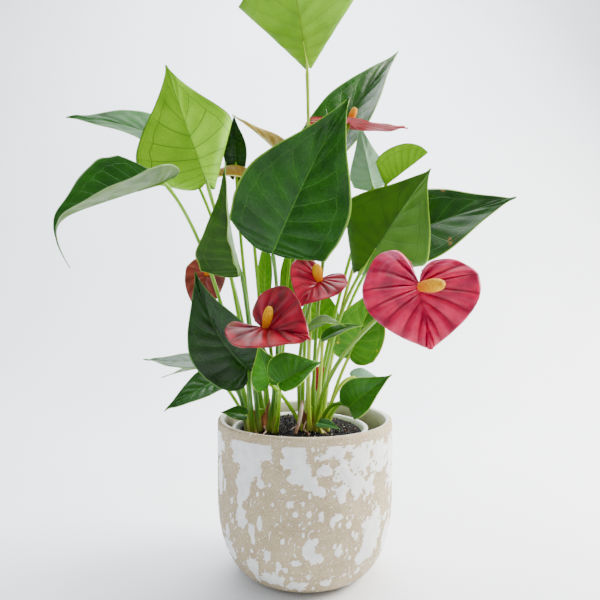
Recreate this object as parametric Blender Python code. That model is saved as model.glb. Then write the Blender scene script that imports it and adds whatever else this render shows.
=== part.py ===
"""Potted anthurium: a cover pot on three pads, a nursery pot of mix, two crowns and what they bear.

Lengths below are in millimetres and are turned to metres when a mesh is made. X runs to the right,
Y to the back and Z up. The origin lies on the surface that the pads stand on, under the pot's axis.
"""

from dataclasses import dataclass
from math import cos, pi, radians, sin

import bmesh
import bpy
from mathutils import Vector

MM = 0.001
GAP = 0.3  # left between solids that touch

# Cover pot
POT_RADIUS = 70.0
POT_TOP = 124.0
POT_WALL = 5.0
POT_FOOT_RADIUS = 42.0
POT_SHOULDER = 62.0  # height at which the round bottom becomes the upright wall
POT_FLOOR = 7.0
POT_SEGMENTS = 48
CORNER_STEPS = 6
RIM_ROUND = 1.2

# Pads under the pot
PAD_RADIUS = 5.5
PAD_HEIGHT = 1.6
PAD_RING = 34.0
PAD_SIDES = 16
PADS = (("pad_front", -90), ("pad_right", 30), ("pad_left", 150))

# Nursery pot and mix
NURSERY_X = -4.0
NURSERY_RADIUS = 55.0
NURSERY_BASE_RADIUS = 33.0
NURSERY_BASE = 13.0
NURSERY_TOP = 116.0
NURSERY_WALL = 1.2
NURSERY_LIP = 2.0
NURSERY_SEGMENTS = 32
MIX_EDGE = 107.0
MIX_CROWN = 111.0
MIX_SHOULDER = 0.6  # share of the radius at which the mound bends
MIX_SWELL = 1.0  # how far it stands there above a straight slope

# Blades, stalks and spadices
BLADE_THICKNESS = 0.9
SPATHE_THICKNESS = 1.0
BLADE_COLUMNS = 3  # on each side of the midrib
BLADE_ROWS = 7
CREASE = 7.0  # radius of the bend where a lobe folds right back
STALK_SIDES = 6
STALK_RINGS = 6
STALK_SWELL = 1.15  # a leaf stalk's radius at its foot, as a share of its mean
STALK_TAPER = 0.25  # share of that radius lost by the joint
RIB_RADIUS = 0.7  # of the stalk's end, where it runs into the midrib
RIB_REACH = 0.25  # how far up the midrib that end is, share of the plan
SEAT = 2.0  # how far along a spathe its spadix and stalk stand, mm
ROUNDING = 0.12  # how far a lobeless blade's base is rounded off, share of the length
SPADIX_SIDES = 10
SPADIX_SHARES = (0.0, 0.12, 0.35, 0.62, 0.86, 1.0)  # places along a spadix
SPADIX_SWELL = (0.55, 0.86, 1.0, 0.92, 0.66, 0.2)  # its radius there, as a share of the widest

# Short stems that the stalks grow round: name, then x, y, radius and height above the mix
CROWN_SIDES = 8
CROWN_SHARES = (0.0, 0.4, 0.8, 1.0)  # places up a crown
CROWN_SWELL = (1.0, 1.05, 0.9, 0.5)  # its radius there, as a share of the first
CROWNS = (("crown_left", (-36, 4, 3.2, 18)), ("crown_right", (4, 3, 3.2, 20)))

# Short pieces at the crowns: name, radius, share of the radius left at the end, and route
AERIAL_ROOT = ("aerial_root", 1.6, 0.65, ((-2, -8, 138), (-3, -12, 130), (-5, -14, 121), (-9, -18, 112.5)))
PETIOLE_STUB = ("petiole_stub", 2.0, 0.95, ((18, -4, 112.5), (19, -5, 121), (25, -5, 133), (36, -4, 141)))
TRIM_RINGS = 8

# Half outlines, as shares of joint-to-tip length and of half width; negative lengths are lobes,
# as shares of the lobe's own length.
LEAF_OUTLINE = (
    (-0.55, 0.10), (-1.0, 0.36), (-0.80, 0.66), (-0.05, 0.90), (0.16, 1.0), (0.36, 0.96),
    (0.54, 0.74), (0.72, 0.41), (0.87, 0.16), (0.95, 0.05), (1.0, 0.012),
)
TAPERED_OUTLINE = (
    (-0.55, 0.10), (-1.0, 0.40), (-0.60, 0.74), (0.0, 0.94), (0.13, 1.0), (0.25, 0.88),
    (0.40, 0.66), (0.57, 0.42), (0.74, 0.22), (0.88, 0.08), (1.0, 0.012),
)
SPATHE_OUTLINE = (
    (-0.62, 0.08), (-1.0, 0.30), (-0.90, 0.66), (-0.30, 0.93), (0.10, 1.0), (0.36, 0.92),
    (0.58, 0.72), (0.76, 0.46), (0.89, 0.22), (0.96, 0.08), (1.0, 0.02),
)


@dataclass(frozen=True)
class Blade:
    """A leaf blade or a spathe, placed by its joint, its tip and the way its upper side faces."""

    joint: tuple
    tip: tuple
    face: tuple
    width: float
    arch: float = 5.0  # rise of the midrib's middle, mm
    folds: tuple = (12.0, 12.0)  # degrees that the left and right halves are raised
    lobes: tuple = (0.12, 0.12)  # reach of the lobes behind the joint, share of the length
    ears: tuple = (20.0, 20.0)  # degrees that the lobes curl up
    hinges: tuple = (0.3, 0.3)  # where the lobes' bend meets the margin, share of the length
    bow: float = 0.0  # sideways swing of the midrib's middle, mm
    hook: float = 0.0  # how far the bend of the midrib is put off to the tip, mm
    cup: float = 0.0  # extra rise of the margins, mm
    taper: float = 0.0  # 0 a broad heart, 1 nearly a triangle


@dataclass(frozen=True)
class Leaf:
    """A blade and the stalk that it grows on."""

    name: str
    root: tuple
    way: tuple
    blade: Blade
    thickness: float = 3.0


@dataclass(frozen=True)
class Flower:
    """A spathe, the spadix that stands on it and the stalk under both."""

    name: str
    root: tuple
    way: tuple
    blade: Blade
    spadix: tuple  # the point that the spadix ends at
    spadix_thickness: float = 7.5
    thickness: float = 3.2


LEAVES = (
    Leaf("leaf_top", (2, 10, 112), (4, 18, 260), Blade(
        (2, 10, 409), (-14, -76, 462), (0, 0.55, 0.8), 112, 6, (18, 18), (0.2, 0.2), (165, 165),
        (0.55, 0.55))),
    Leaf("leaf_left_upright", (-43, 2, 112), (-55, 2, 212), Blade(
        (-76, -18, 310), (-109, -8, 403), (-0.2, 0.9, -0.1), 94, 4, (6, 12), (0.1, 0.05), (170, 170),
        (0.75, 0.3))),
    Leaf("leaf_far_left", (-44, 7, 112), (-76, 3, 240), Blade(
        (-105, -38, 307), (-166, -62, 243), (-0.5, 0.1, 0.8), 76, 0, (-5, 85), (0.12, 0.02), (10, 10),
        hook=42, taper=0.8)),
    Leaf("leaf_left_back", (-38, 19, 112), (-64, 34, 240), Blade(
        (-105, 42, 344), (-182, -24, 358), (0.1, -0.75, 0.65), 52, 9, (10, 10), (0.15, 0.15))),
    Leaf("leaf_front", (-29, -5, 112), (-21, -24, 190), Blade(
        (-24, -45, 254), (31, -60, 363), (0.05, -0.98, 0.15), 84, 4, (6, 10), (0.03, 0.0), (20, 100),
        (0.3, 0.16), bow=-2)),
    Leaf("leaf_back_high", (-3, 18, 112), (4, 46, 240), Blade(
        (13, 64, 344), (92, 112, 457), (-0.1, -0.8, 0.4), 56, 4, (35, 25), (0.2, 0.2), (20, 20))),
    Leaf("leaf_bronze", (-28, 12, 112), (-16, 24, 220), Blade(
        (-5, 28, 323), (-60, 18, 371), (0.1, -0.45, 0.85), 33, 3, (25, 25), (0.15, 0.15), (20, 20))),
    Leaf("leaf_small_dark", (-33, 16, 112), (-50, 24, 230), Blade(
        (-58, 28, 334), (-59, 22, 372), (0.1, -0.9, 0.1), 22, 2, (20, 35), (0.4, 0.5), (60, 60))),
    Leaf("leaf_tan", (-29, 7, 112), (-38, 16, 220), Blade(
        (-47, 12, 318), (-84, 14, 313), (0.1, -0.5, 0.8), 24, 5, (25, 25), (0.1, 0.1), (10, 10))),
    Leaf("leaf_folded", (-37, -5, 112), (-42, -10, 176), Blade(
        (-49, -24, 238), (-61, -20, 325), (-0.7, -0.7, 0), 62, 4, (45, 45), (0.02, 0.02), (20, 20),
        taper=1.0)),
    Leaf("leaf_low_left", (-41, -7, 112), (-42, -20, 138), Blade(
        (-44, -16, 164), (-83, -30, 241), (-0.1, -0.97, 0.2), 58, 4, (14, 30), (0.12, 0.06), (20, 20),
        bow=-7)),
    Leaf("leaf_olive_left", (-42, 12, 112), (-60, 16, 148), Blade(
        (-75, 15, 168), (-136, 20, 168), (0, -0.25, 0.97), 36, -2, (5, 5), (0.1, 0.1), (10, 10))),
    Leaf("leaf_thin_left", (-46, 15, 112), (-66, 26, 142), Blade(
        (-85, 30, 160), (-124, 34, 150), (0, -0.05, 1), 22, 1, (8, 8), (0.1, 0.1), (10, 10))),
    Leaf("leaf_grey_left", (-46, -3, 112), (-54, -4, 146), Blade(
        (-64, -3, 157), (-110, -20, 132), (-0.1, -0.55, 0.83), 32, 2, (10, 10), (0.12, 0.12), (10, 10))),
    Leaf("leaf_centre_left", (-1, -2.5, 112), (-14, -14, 138), Blade(
        (-27, -37, 157), (-35, -46, 187), (0.2, -0.95, 0.1), 28, 2, (20, 5), (0.1, 0.1), (20, 20))),
    Leaf("leaf_centre_right", (-24, -7, 112), (-20, -36, 136), Blade(
        (-19, -52, 160), (12, -51, 175), (0, -0.9, 0.3), 38, 3, (5, 55), (0.14, 0.05), (20, 20))),
    Leaf("leaf_small_triangle", (4, -3.5, 112), (3, -10, 154), Blade(
        (4, -8, 194), (32, -13, 198), (0, -0.2, 0.97), 28, 4, (20, 20), (0.15, 0.15), (10, 10))),
    Leaf("leaf_narrow_right", (9, -1, 112), (12, -4, 150), Blade(
        (14, -5, 187), (47, -15, 199), (0, -0.5, 0.85), 16, 3, (10, 10), (0.05, 0.05), (10, 10))),
    Leaf("leaf_bright_behind", (3, 15, 112), (8, 32, 150), Blade(
        (15, 42, 187), (11, 58, 236), (-0.1, -0.95, 0.2), 34, 2, (10, 10), (0.1, 0.1), (10, 10))),
    Leaf("leaf_pale_upright", (-31, 20, 112), (-36, 28, 180), Blade(
        (-34, 24, 222), (-32, 26, 280), (0, -0.9, 0), 13, 2, (20, 20), (0.02, 0.02), (0, 0))),
    Leaf("leaf_green_upright", (-24, 10, 112), (-18, 32, 180), Blade(
        (-14, 30, 218), (-12, 34, 275), (0, -0.9, 0), 16, 2, (20, 20), (0.02, 0.02), (0, 0))),
    Leaf("leaf_round_right", (16, 4, 112), (26, 8, 146), Blade(
        (37, 10, 172), (62, 20, 232), (0.1, -0.9, 0.3), 44, 3, (10, 10), (0.08, 0.08), (20, 20))),
    Leaf("leaf_low_right", (11, -6, 112), (20, -12, 134), Blade(
        (34, -30, 138), (63, -52, 166), (-0.1, -0.9, 0.4), 31, 3, (10, 30), (0.10, 0.02), (20, 40))),
    Leaf("leaf_pale_right", (14, 0, 112), (27, 0, 146), Blade(
        (41, 4, 155), (61, 8, 154), (0, -0.8, 0.6), 16, 1, (10, 10), (0.2, 0.2), (10, 10))),
    Leaf("leaf_on_mix", (13, -10, 112), (11, -16, 119), Blade(
        (10, -20, 123), (27, -32, 121), (-0.1, -0.5, 0.85), 10, 1, (10, 10), (0.05, 0.05), (0, 0))),
    Leaf("leaf_rim_left", (-44, -10, 112), (-45, -12, 120), Blade(
        (-47, -13, 128), (-67, -13, 130), (0, -0.7, 0.7), 13, 1, (10, 10), (0.1, 0.1), (0, 0)), 2.2),
    Leaf("leaf_olive_right", (10, 4, 112), (24, 0, 190), Blade(
        (47, 0, 244), (99, -10, 322), (-0.2, 0.9, 0.2), 94, 4, (0, 38), (0.2, 0.2), (165, 165),
        (0.40, 0.55))),
    Leaf("leaf_far_right", (14, 13, 112), (32, 30, 196), Blade(
        (72, 55, 268), (180, 30, 305), (-0.2, -0.9, 0.3), 74, 5, (0, 18), (0.15, 0.15), (20, 20))),
    Leaf("leaf_pale_back", (7, 20, 112), (30, 34, 220), Blade(
        (59, 36, 313), (47, 46, 375), (0, 0.95, 0.1), 35, 3, (15, 15), (0.02, 0.02), (100, 100),
        (0.2, 0.2), taper=0.6)),
    Leaf("leaf_curled", (14, 7.5, 112), (34, 24, 220), Blade(
        (67, 15, 313), (99, 2, 337), (0.1, 0.9, 0.2), 44, 2, (85, 5), (0.02, 0.0), (20, 20))),
)
FLOWERS = (
    Flower("flower_large", (8, -7, 112), (26, -44, 176), Blade(
        (74, -95, 232), (80, -103, 190), (-0.1, -0.95, 0.2), 76, 3, (6, 6), (0.32, 0.58), (20, 20)),
        (86, -113, 232), 8.5, 3.4),
    Flower("flower_edge_on", (7, 8, 112), (14, 14, 240), Blade(
        (35, 20, 365), (86, 22, 361), (0, -0.05, 1), 42, 0, (-3, -3), (0.65, 0.6), (0, 0)),
        (42, 18, 377), 5.5),
    Flower("flower_crimson", (-3, 7, 112), (-3, 10, 180), Blade(
        (13, 4, 235), (-4, -12, 214), (-0.1, -0.85, 0.5), 52, 2, (20, 25), (0.35, 0.3), (20, 20)),
        (9, -5, 247), 8),
    Flower("flower_deep_red", (-25, 1, 112), (-26, -8, 168), Blade(
        (-30, -60, 201), (3, -82, 194), (-0.15, -0.8, 0.57), 64, 2, (22, 30), (0.35, 0.5), (10, 60)),
        (-25, -70, 216), 6.5),
    Flower("flower_faded", (-43, 20, 112), (-70, 40, 180), Blade(
        (-84, 35, 241), (-88, 25, 204), (0, -0.9, 0.3), 36, 2, (15, 15), (0.3, 0.3), (20, 20)),
        (-82, 27, 250), 6),
    Flower("flower_small", (7, 13.5, 112), (9, 20.5, 138), Blade(
        (13, 19, 158), (11, 17, 140), (0, -0.9, 0.3), 12, 1, (10, 10), (0.2, 0.2), (20, 20)),
        (13, 13, 164), 3, 2.2),
)


def spline(points, share):
    """A smooth curve through the points, read at a share of the way along."""
    place = share * (len(points) - 1)
    step = min(int(place), len(points) - 2)
    t = place - step
    before, start = Vector(points[max(step - 1, 0)]), Vector(points[step])
    end, after = Vector(points[step + 1]), Vector(points[min(step + 2, len(points) - 1)])
    lean_in, lean_out = (end - before) / 2, (after - start) / 2
    return (
        start * (2 * t**3 - 3 * t**2 + 1)
        + lean_in * (t**3 - 2 * t**2 + t)
        + end * (3 * t**2 - 2 * t**3)
        + lean_out * (t**3 - t**2)
    )


def blade_axes(blade):
    """Length of the blade and its unit vectors: to the tip, to the right and out of the upper side."""
    along = Vector(blade.tip) - Vector(blade.joint)
    length = along.length
    along.normalize()
    up = Vector(blade.face)
    up = (up - along * up.dot(along)).normalized()
    return length, along, along.cross(up), up


def blade_point(blade, outline, across, down):
    """The point of a blade at across (-1 left margin, 1 right margin) and down (0 sinus, 1 tip)."""
    length, along, right, up = blade_axes(blade)
    side = 0 if across < 0 else 1
    reach, half = abs(across), blade.width / 2
    broad, narrow = spline(outline, down), spline(TAPERED_OUTLINE, down)
    edge_s, edge_w = broad.lerp(narrow, blade.taper)
    if edge_s < 0:
        edge_s *= blade.lobes[side]
    edge_s += max(0.0, ROUNDING - blade.lobes[side]) * 2 * edge_w**2 * (1 - down) ** 2
    start_s = down**2
    s = start_s + (edge_s - start_s) * reach
    w = max(edge_w, outline[-1][1]) * reach
    x, y = s * length, w * half

    # The lobe curls up about the line from the joint to the widest point.
    fold_s, fold_w = blade.hinges[side] * length, half
    fold_length = (fold_s**2 + fold_w**2) ** 0.5
    line_x, line_y = fold_s / fold_length, fold_w / fold_length
    beyond = y * line_x - x * line_y
    rise = 0.0
    if beyond > 0 and blade.ears[side] != 0:
        turn = radians(blade.ears[side])
        radius = (fold_w * line_x + blade.lobes[side] * length * line_y) / turn
        if turn > pi / 2:
            radius = min(radius, CREASE)
        bent = min(beyond / radius, turn)
        flat = beyond - bent * radius
        within = radius * sin(bent) + flat * cos(bent)
        rise = radius * (1 - cos(bent)) + flat * sin(bent)
        kept = x * line_x + y * line_y
        x = kept * line_x - within * line_y
        y = kept * line_y + within * line_x

    t = x / length
    rise += 4 * blade.arch * t * (1 - t) if t > 0 else 4 * blade.arch * t
    rise += blade.hook * (t - max(t, 0) ** 10)
    rise += blade.cup * (y / half) ** 2
    fold = radians(blade.folds[side])
    sideways = y * cos(fold)
    rise += y * sin(fold)
    swing = 4 * blade.bow * t * (1 - t) if t > 0 else 0.0
    sign = -1 if side == 0 else 1
    return Vector(blade.joint) + along * x + right * (sign * sideways + swing) + up * rise


def blade_mesh(blade, outline):
    """The middle surface of a blade as a bmesh grid, in metres."""
    grid = bmesh.new()
    columns = [c / BLADE_COLUMNS for c in range(-BLADE_COLUMNS, BLADE_COLUMNS + 1)]
    rows = []
    for r in range(BLADE_ROWS + 1):
        down = r / BLADE_ROWS
        rows.append([grid.verts.new(blade_point(blade, outline, c, down) * MM) for c in columns])
    for low, high in zip(rows, rows[1:]):
        for i in range(len(columns) - 1):
            grid.faces.new((low[i], low[i + 1], high[i + 1], high[i]))
    return grid


def stalk_point(root, way, end, share):
    """A point along the curve from root to end that passes through way halfway along."""
    root, way, end = Vector(root), Vector(way), Vector(end)
    pull = way * 2 - (root + end) / 2
    return root * (1 - share) ** 2 + pull * 2 * share * (1 - share) + end * share**2


def tube_mesh(points, radii, sides):
    """A closed tube through the points, in metres."""
    tube = bmesh.new()
    normal = Vector((0, 1, 0))
    rings = []
    for i, (point, radius) in enumerate(zip(points, radii)):
        heading = (points[min(i + 1, len(points) - 1)] - points[max(i - 1, 0)]).normalized()
        normal = (normal - heading * normal.dot(heading)).normalized()
        other = heading.cross(normal)
        ring = []
        for k in range(sides):
            angle = 2 * pi * k / sides
            ring.append(tube.verts.new((point + (normal * cos(angle) + other * sin(angle)) * radius) * MM))
        rings.append(ring)
    for low, high in zip(rings, rings[1:]):
        for k in range(sides):
            tube.faces.new((low[k], low[(k + 1) % sides], high[(k + 1) % sides], high[k]))
    tube.faces.new(list(reversed(rings[0])))
    tube.faces.new(rings[-1])
    return tube


def material(name, colour, roughness):
    """A Principled material."""
    made = bpy.data.materials.get(name) or bpy.data.materials.new(name)
    made.use_nodes = True
    shader = made.node_tree.nodes["Principled BSDF"]
    shader.inputs["Base Color"].default_value = (*colour, 1.0)
    shader.inputs["Roughness"].default_value = roughness
    return made


def add_object(name, shape, look, cutter=False):
    """Turn a bmesh into a named object of the scene."""
    mesh = bpy.data.meshes.new(name)
    shape.to_mesh(mesh)
    shape.free()
    mesh.materials.append(look)
    mesh.shade_smooth()
    made = bpy.data.objects.new(name, mesh)
    bpy.context.scene.collection.objects.link(made)
    if cutter:
        made.hide_render = True
        made.display_type = "WIRE"
    return made


def add_plate(name, blade, outline, thickness, look):
    """A blade as an object with its thickness."""
    made = add_object(name, blade_mesh(blade, outline), look)
    wall = made.modifiers.new("thickness", "SOLIDIFY")
    wall.thickness = thickness * MM
    wall.offset = 0.0
    return made


def add_leaf(leaf, look):
    """A blade joined to its stalk, as one solid."""
    made = add_plate(leaf.name, leaf.blade, LEAF_OUTLINE, BLADE_THICKNESS, look)
    shares = [i / (STALK_RINGS - 1) for i in range(STALK_RINGS)]
    points = [stalk_point(leaf.root, leaf.way, leaf.blade.joint, share) for share in shares]
    points.append(blade_point(leaf.blade, LEAF_OUTLINE, 0, RIB_REACH))
    radii = [leaf.thickness / 2 * (STALK_SWELL - STALK_TAPER * i / STALK_RINGS) for i in range(STALK_RINGS)]
    radii.append(RIB_RADIUS)
    stalk = add_object(f"{leaf.name}_stalk", tube_mesh(points, radii, STALK_SIDES), look, cutter=True)
    union = made.modifiers.new("stalk", "BOOLEAN")
    union.operation = "UNION"
    union.object = stalk


def add_flower(flower, red, yellow, green):
    """A spathe, a spadix and a stalk, each its own solid."""
    blade = flower.blade
    _, along, _, up = blade_axes(blade)
    add_plate(f"{flower.name}_spathe", blade, SPATHE_OUTLINE, SPATHE_THICKNESS, red)
    clear = SPATHE_THICKNESS / 2 + 2 * GAP
    base = Vector(blade.joint) + along * SEAT + up * (clear + flower.spadix_thickness * SPADIX_SWELL[0] / 2)
    tip = Vector(flower.spadix)
    points = [base.lerp(tip, share) for share in SPADIX_SHARES]
    radii = [flower.spadix_thickness / 2 * s for s in SPADIX_SWELL]
    add_object(f"{flower.name}_spadix", tube_mesh(points, radii, SPADIX_SIDES), yellow)
    end = Vector(blade.joint) + along * SEAT - up * (clear + flower.thickness / 2)
    points = [stalk_point(flower.root, flower.way, end, i / STALK_RINGS) for i in range(STALK_RINGS + 1)]
    radii = [flower.thickness / 2] * len(points)
    add_object(f"{flower.name}_stalk", tube_mesh(points, radii, STALK_SIDES), green)


def turned(profile, segments, centre_x=0.0):
    """A profile of (radius, height) pairs turned about a vertical axis."""
    shape = bmesh.new()
    verts = [shape.verts.new((radius * MM, 0, height * MM)) for radius, height in profile]
    edges = [shape.edges.new(pair) for pair in zip(verts, verts[1:])]
    bmesh.ops.spin(
        shape, geom=verts + edges, cent=(0, 0, 0), axis=(0, 0, 1), angle=2 * pi, steps=segments,
        use_merge=True,
    )
    bmesh.ops.remove_doubles(shape, verts=shape.verts, dist=0.00001)
    bmesh.ops.translate(shape, verts=shape.verts, vec=(centre_x * MM, 0, 0))
    bmesh.ops.recalc_face_normals(shape, faces=shape.faces)
    return shape


def pot_profile():
    """Outer side of the cover pot from the middle of its foot up, over the rim and down the inside."""
    outer = []
    for step in range(CORNER_STEPS + 1):
        angle = pi / 2 * step / CORNER_STEPS
        radius = POT_FOOT_RADIUS + (POT_RADIUS - POT_FOOT_RADIUS) * sin(angle)
        outer.append((radius, PAD_HEIGHT + (POT_SHOULDER - PAD_HEIGHT) * (1 - cos(angle))))
    inner = []
    for radius, height in reversed(outer):
        lift = (POT_FLOOR - PAD_HEIGHT) * (POT_SHOULDER - height) / (POT_SHOULDER - PAD_HEIGHT)
        inner.append((radius - POT_WALL, height + lift))
    rim = [
        (POT_RADIUS, POT_TOP - RIM_ROUND), (POT_RADIUS - RIM_ROUND, POT_TOP),
        (POT_RADIUS - POT_WALL + RIM_ROUND, POT_TOP), (POT_RADIUS - POT_WALL, POT_TOP - RIM_ROUND),
    ]
    return [(0, PAD_HEIGHT)] + outer + rim + inner + [(0, POT_FLOOR)]


def nursery_profile():
    """The thin nursery pot: an open cone with a turned-out lip."""
    out, wall = NURSERY_RADIUS, NURSERY_WALL
    return [
        (0, NURSERY_BASE), (NURSERY_BASE_RADIUS, NURSERY_BASE),
        (out - NURSERY_LIP, NURSERY_TOP - NURSERY_LIP * 2),
        (out, NURSERY_TOP - NURSERY_LIP * 2), (out, NURSERY_TOP), (out - NURSERY_LIP - wall, NURSERY_TOP),
        (NURSERY_BASE_RADIUS - wall, NURSERY_BASE + wall), (0, NURSERY_BASE + wall),
    ]


def mix_profile():
    """The potting mix, a gap away from the nursery pot and mounded a little in the middle."""
    inner_top = NURSERY_RADIUS - NURSERY_LIP - NURSERY_WALL
    inner_base = NURSERY_BASE_RADIUS - NURSERY_WALL
    base = NURSERY_BASE + NURSERY_WALL + GAP
    share = (MIX_EDGE - base) / (NURSERY_TOP - base)
    edge = inner_base + (inner_top - inner_base) * share - 2 * GAP
    return [
        (0, base), (inner_base - 2 * GAP, base), (edge, MIX_EDGE),
        (edge * MIX_SHOULDER, (MIX_EDGE + MIX_CROWN) / 2 + MIX_SWELL), (0, MIX_CROWN),
    ]


def add_crown(name, foot, look):
    """A short upright stem that the stalks grow round, swollen a little and then narrowed to its top."""
    x, y, radius, height = foot
    bottom, top = Vector((x, y, MIX_CROWN + GAP)), Vector((x, y, MIX_CROWN + height))
    points = [bottom.lerp(top, share) for share in CROWN_SHARES]
    add_object(name, tube_mesh(points, [radius * swell for swell in CROWN_SWELL], CROWN_SIDES), look)


def add_trim(trim, look):
    """A short tapering tube through the points of its route."""
    name, radius, left, route = trim
    shares = [i / TRIM_RINGS for i in range(TRIM_RINGS + 1)]
    points = [spline(route, share) for share in shares]
    radii = [radius * (1 - (1 - left) * share) for share in shares]
    add_object(name, tube_mesh(points, radii, STALK_SIDES), look)


def main():
    """Build every piece of the plant, its mix and its pots."""
    for old in list(bpy.data.objects):
        bpy.data.objects.remove(old)
    leaf_green = material("leaf", (0.05, 0.20, 0.03), 0.35)
    red = material("spathe", (0.60, 0.01, 0.03), 0.20)
    yellow = material("spadix", (0.80, 0.55, 0.05), 0.60)
    stem_green = material("stem", (0.25, 0.40, 0.05), 0.45)
    root_brown = material("root", (0.45, 0.28, 0.15), 0.70)
    stoneware = material("stoneware", (0.60, 0.53, 0.43), 0.60)
    plastic = material("nursery_plastic", (0.75, 0.76, 0.74), 0.45)
    mix = material("potting_mix", (0.02, 0.016, 0.012), 0.95)
    silicone = material("silicone", (0.85, 0.85, 0.85), 0.30)

    add_object("ceramic_pot", turned(pot_profile(), POT_SEGMENTS), stoneware)
    add_object("nursery_pot", turned(nursery_profile(), NURSERY_SEGMENTS, NURSERY_X), plastic)
    add_object("potting_mix", turned(mix_profile(), NURSERY_SEGMENTS, NURSERY_X), mix)
    for name, degrees in PADS:
        pad_top = PAD_HEIGHT - GAP
        pad = turned([(0, 0), (PAD_RADIUS, 0), (PAD_RADIUS, pad_top), (0, pad_top)], PAD_SIDES)
        place = (PAD_RING * cos(radians(degrees)), PAD_RING * sin(radians(degrees)), 0)
        bmesh.ops.translate(pad, verts=pad.verts, vec=Vector(place) * MM)
        add_object(name, pad, silicone)
    for name, foot in CROWNS:
        add_crown(name, foot, stem_green)
    add_trim(AERIAL_ROOT, root_brown)
    add_trim(PETIOLE_STUB, stem_green)
    for leaf in LEAVES:
        add_leaf(leaf, leaf_green)
    for flower in FLOWERS:
        add_flower(flower, red, yellow, stem_green)


main()
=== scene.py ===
"""The looks of a potted anthurium: its leaves, flowers, stalks and roots, its mix and its two pots.

Lengths in the classes below are in millimetres and become metres when a mesh is made. X runs to the
right, Y to the back and Z up, from the surface under the pads, on the axis of the cover pot.
"""

import logging
from collections.abc import Callable, Sequence
from dataclasses import dataclass, replace
from enum import Enum
from math import atan2, cos, exp, hypot, pi, radians, sin, sqrt
from random import Random

import bmesh
import bpy
from mathutils import Matrix, Vector, noise


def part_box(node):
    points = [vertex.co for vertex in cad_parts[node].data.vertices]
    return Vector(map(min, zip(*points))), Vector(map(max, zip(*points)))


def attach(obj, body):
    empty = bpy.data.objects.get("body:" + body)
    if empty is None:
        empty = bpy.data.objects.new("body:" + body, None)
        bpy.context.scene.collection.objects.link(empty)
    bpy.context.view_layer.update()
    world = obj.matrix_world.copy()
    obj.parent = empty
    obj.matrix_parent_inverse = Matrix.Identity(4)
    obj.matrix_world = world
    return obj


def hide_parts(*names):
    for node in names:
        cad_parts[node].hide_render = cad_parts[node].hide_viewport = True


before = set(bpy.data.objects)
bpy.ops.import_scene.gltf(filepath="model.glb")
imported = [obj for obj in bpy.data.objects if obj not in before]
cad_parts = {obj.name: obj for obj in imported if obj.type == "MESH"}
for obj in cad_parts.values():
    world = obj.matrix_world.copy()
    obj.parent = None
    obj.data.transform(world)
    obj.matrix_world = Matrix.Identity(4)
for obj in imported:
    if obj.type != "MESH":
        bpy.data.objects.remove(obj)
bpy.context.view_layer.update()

MM = 0.001
Point = tuple[float, float, float]
Shape = bmesh.types.BMesh
Socket = bpy.types.NodeSocket
Material = bpy.types.Material

logging.basicConfig(level=logging.INFO, format="%(message)s")
log = logging.getLogger("anthurium")


# --- Nodes and meshes ---------------------------------------------------------------------------


def linear(hex_colour: str) -> tuple[float, float, float, float]:
    """Turn an sRGB hex colour into linear RGBA.

    Args:
        hex_colour: A colour such as "#87a537".

    Returns:
        Red, green and blue in linear light, and an alpha of 1.
    """
    channels = [int(hex_colour[i : i + 2], 16) / 255 for i in (1, 3, 5)]
    red, green, blue = (c / 12.92 if c <= 0.04045 else ((c + 0.055) / 1.055) ** 2.4 for c in channels)
    return red, green, blue, 1.0


def add_node(
    tree: bpy.types.NodeTree,
    kind: str,
    inputs: dict | None = None,
    ramp: Sequence[tuple[float, str]] = (),
    **settings: object,
) -> bpy.types.Node:
    """Add one node with its settings and its links.

    Args:
        tree: The node tree to add to.
        kind: The node's type without its "ShaderNode" prefix.
        inputs: Input names or numbers, each with a socket to link or a value to set.
        ramp: For a colour ramp, the positions and hex colours of its stops.
        settings: Properties of the node itself, such as operation.

    Returns:
        The new node.
    """
    node = tree.nodes.new(f"ShaderNode{kind}")
    for name, value in settings.items():
        setattr(node, name, value)
    for key, value in (inputs or {}).items():
        if isinstance(value, Socket):
            tree.links.new(value, node.inputs[key])
        else:
            node.inputs[key].default_value = value
    for index, (place, hex_colour) in enumerate(ramp):
        stops = node.color_ramp.elements
        stop = stops[index] if index < 2 else stops.new(place)
        stop.position = place
        stop.color = linear(hex_colour)
    return node


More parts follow.
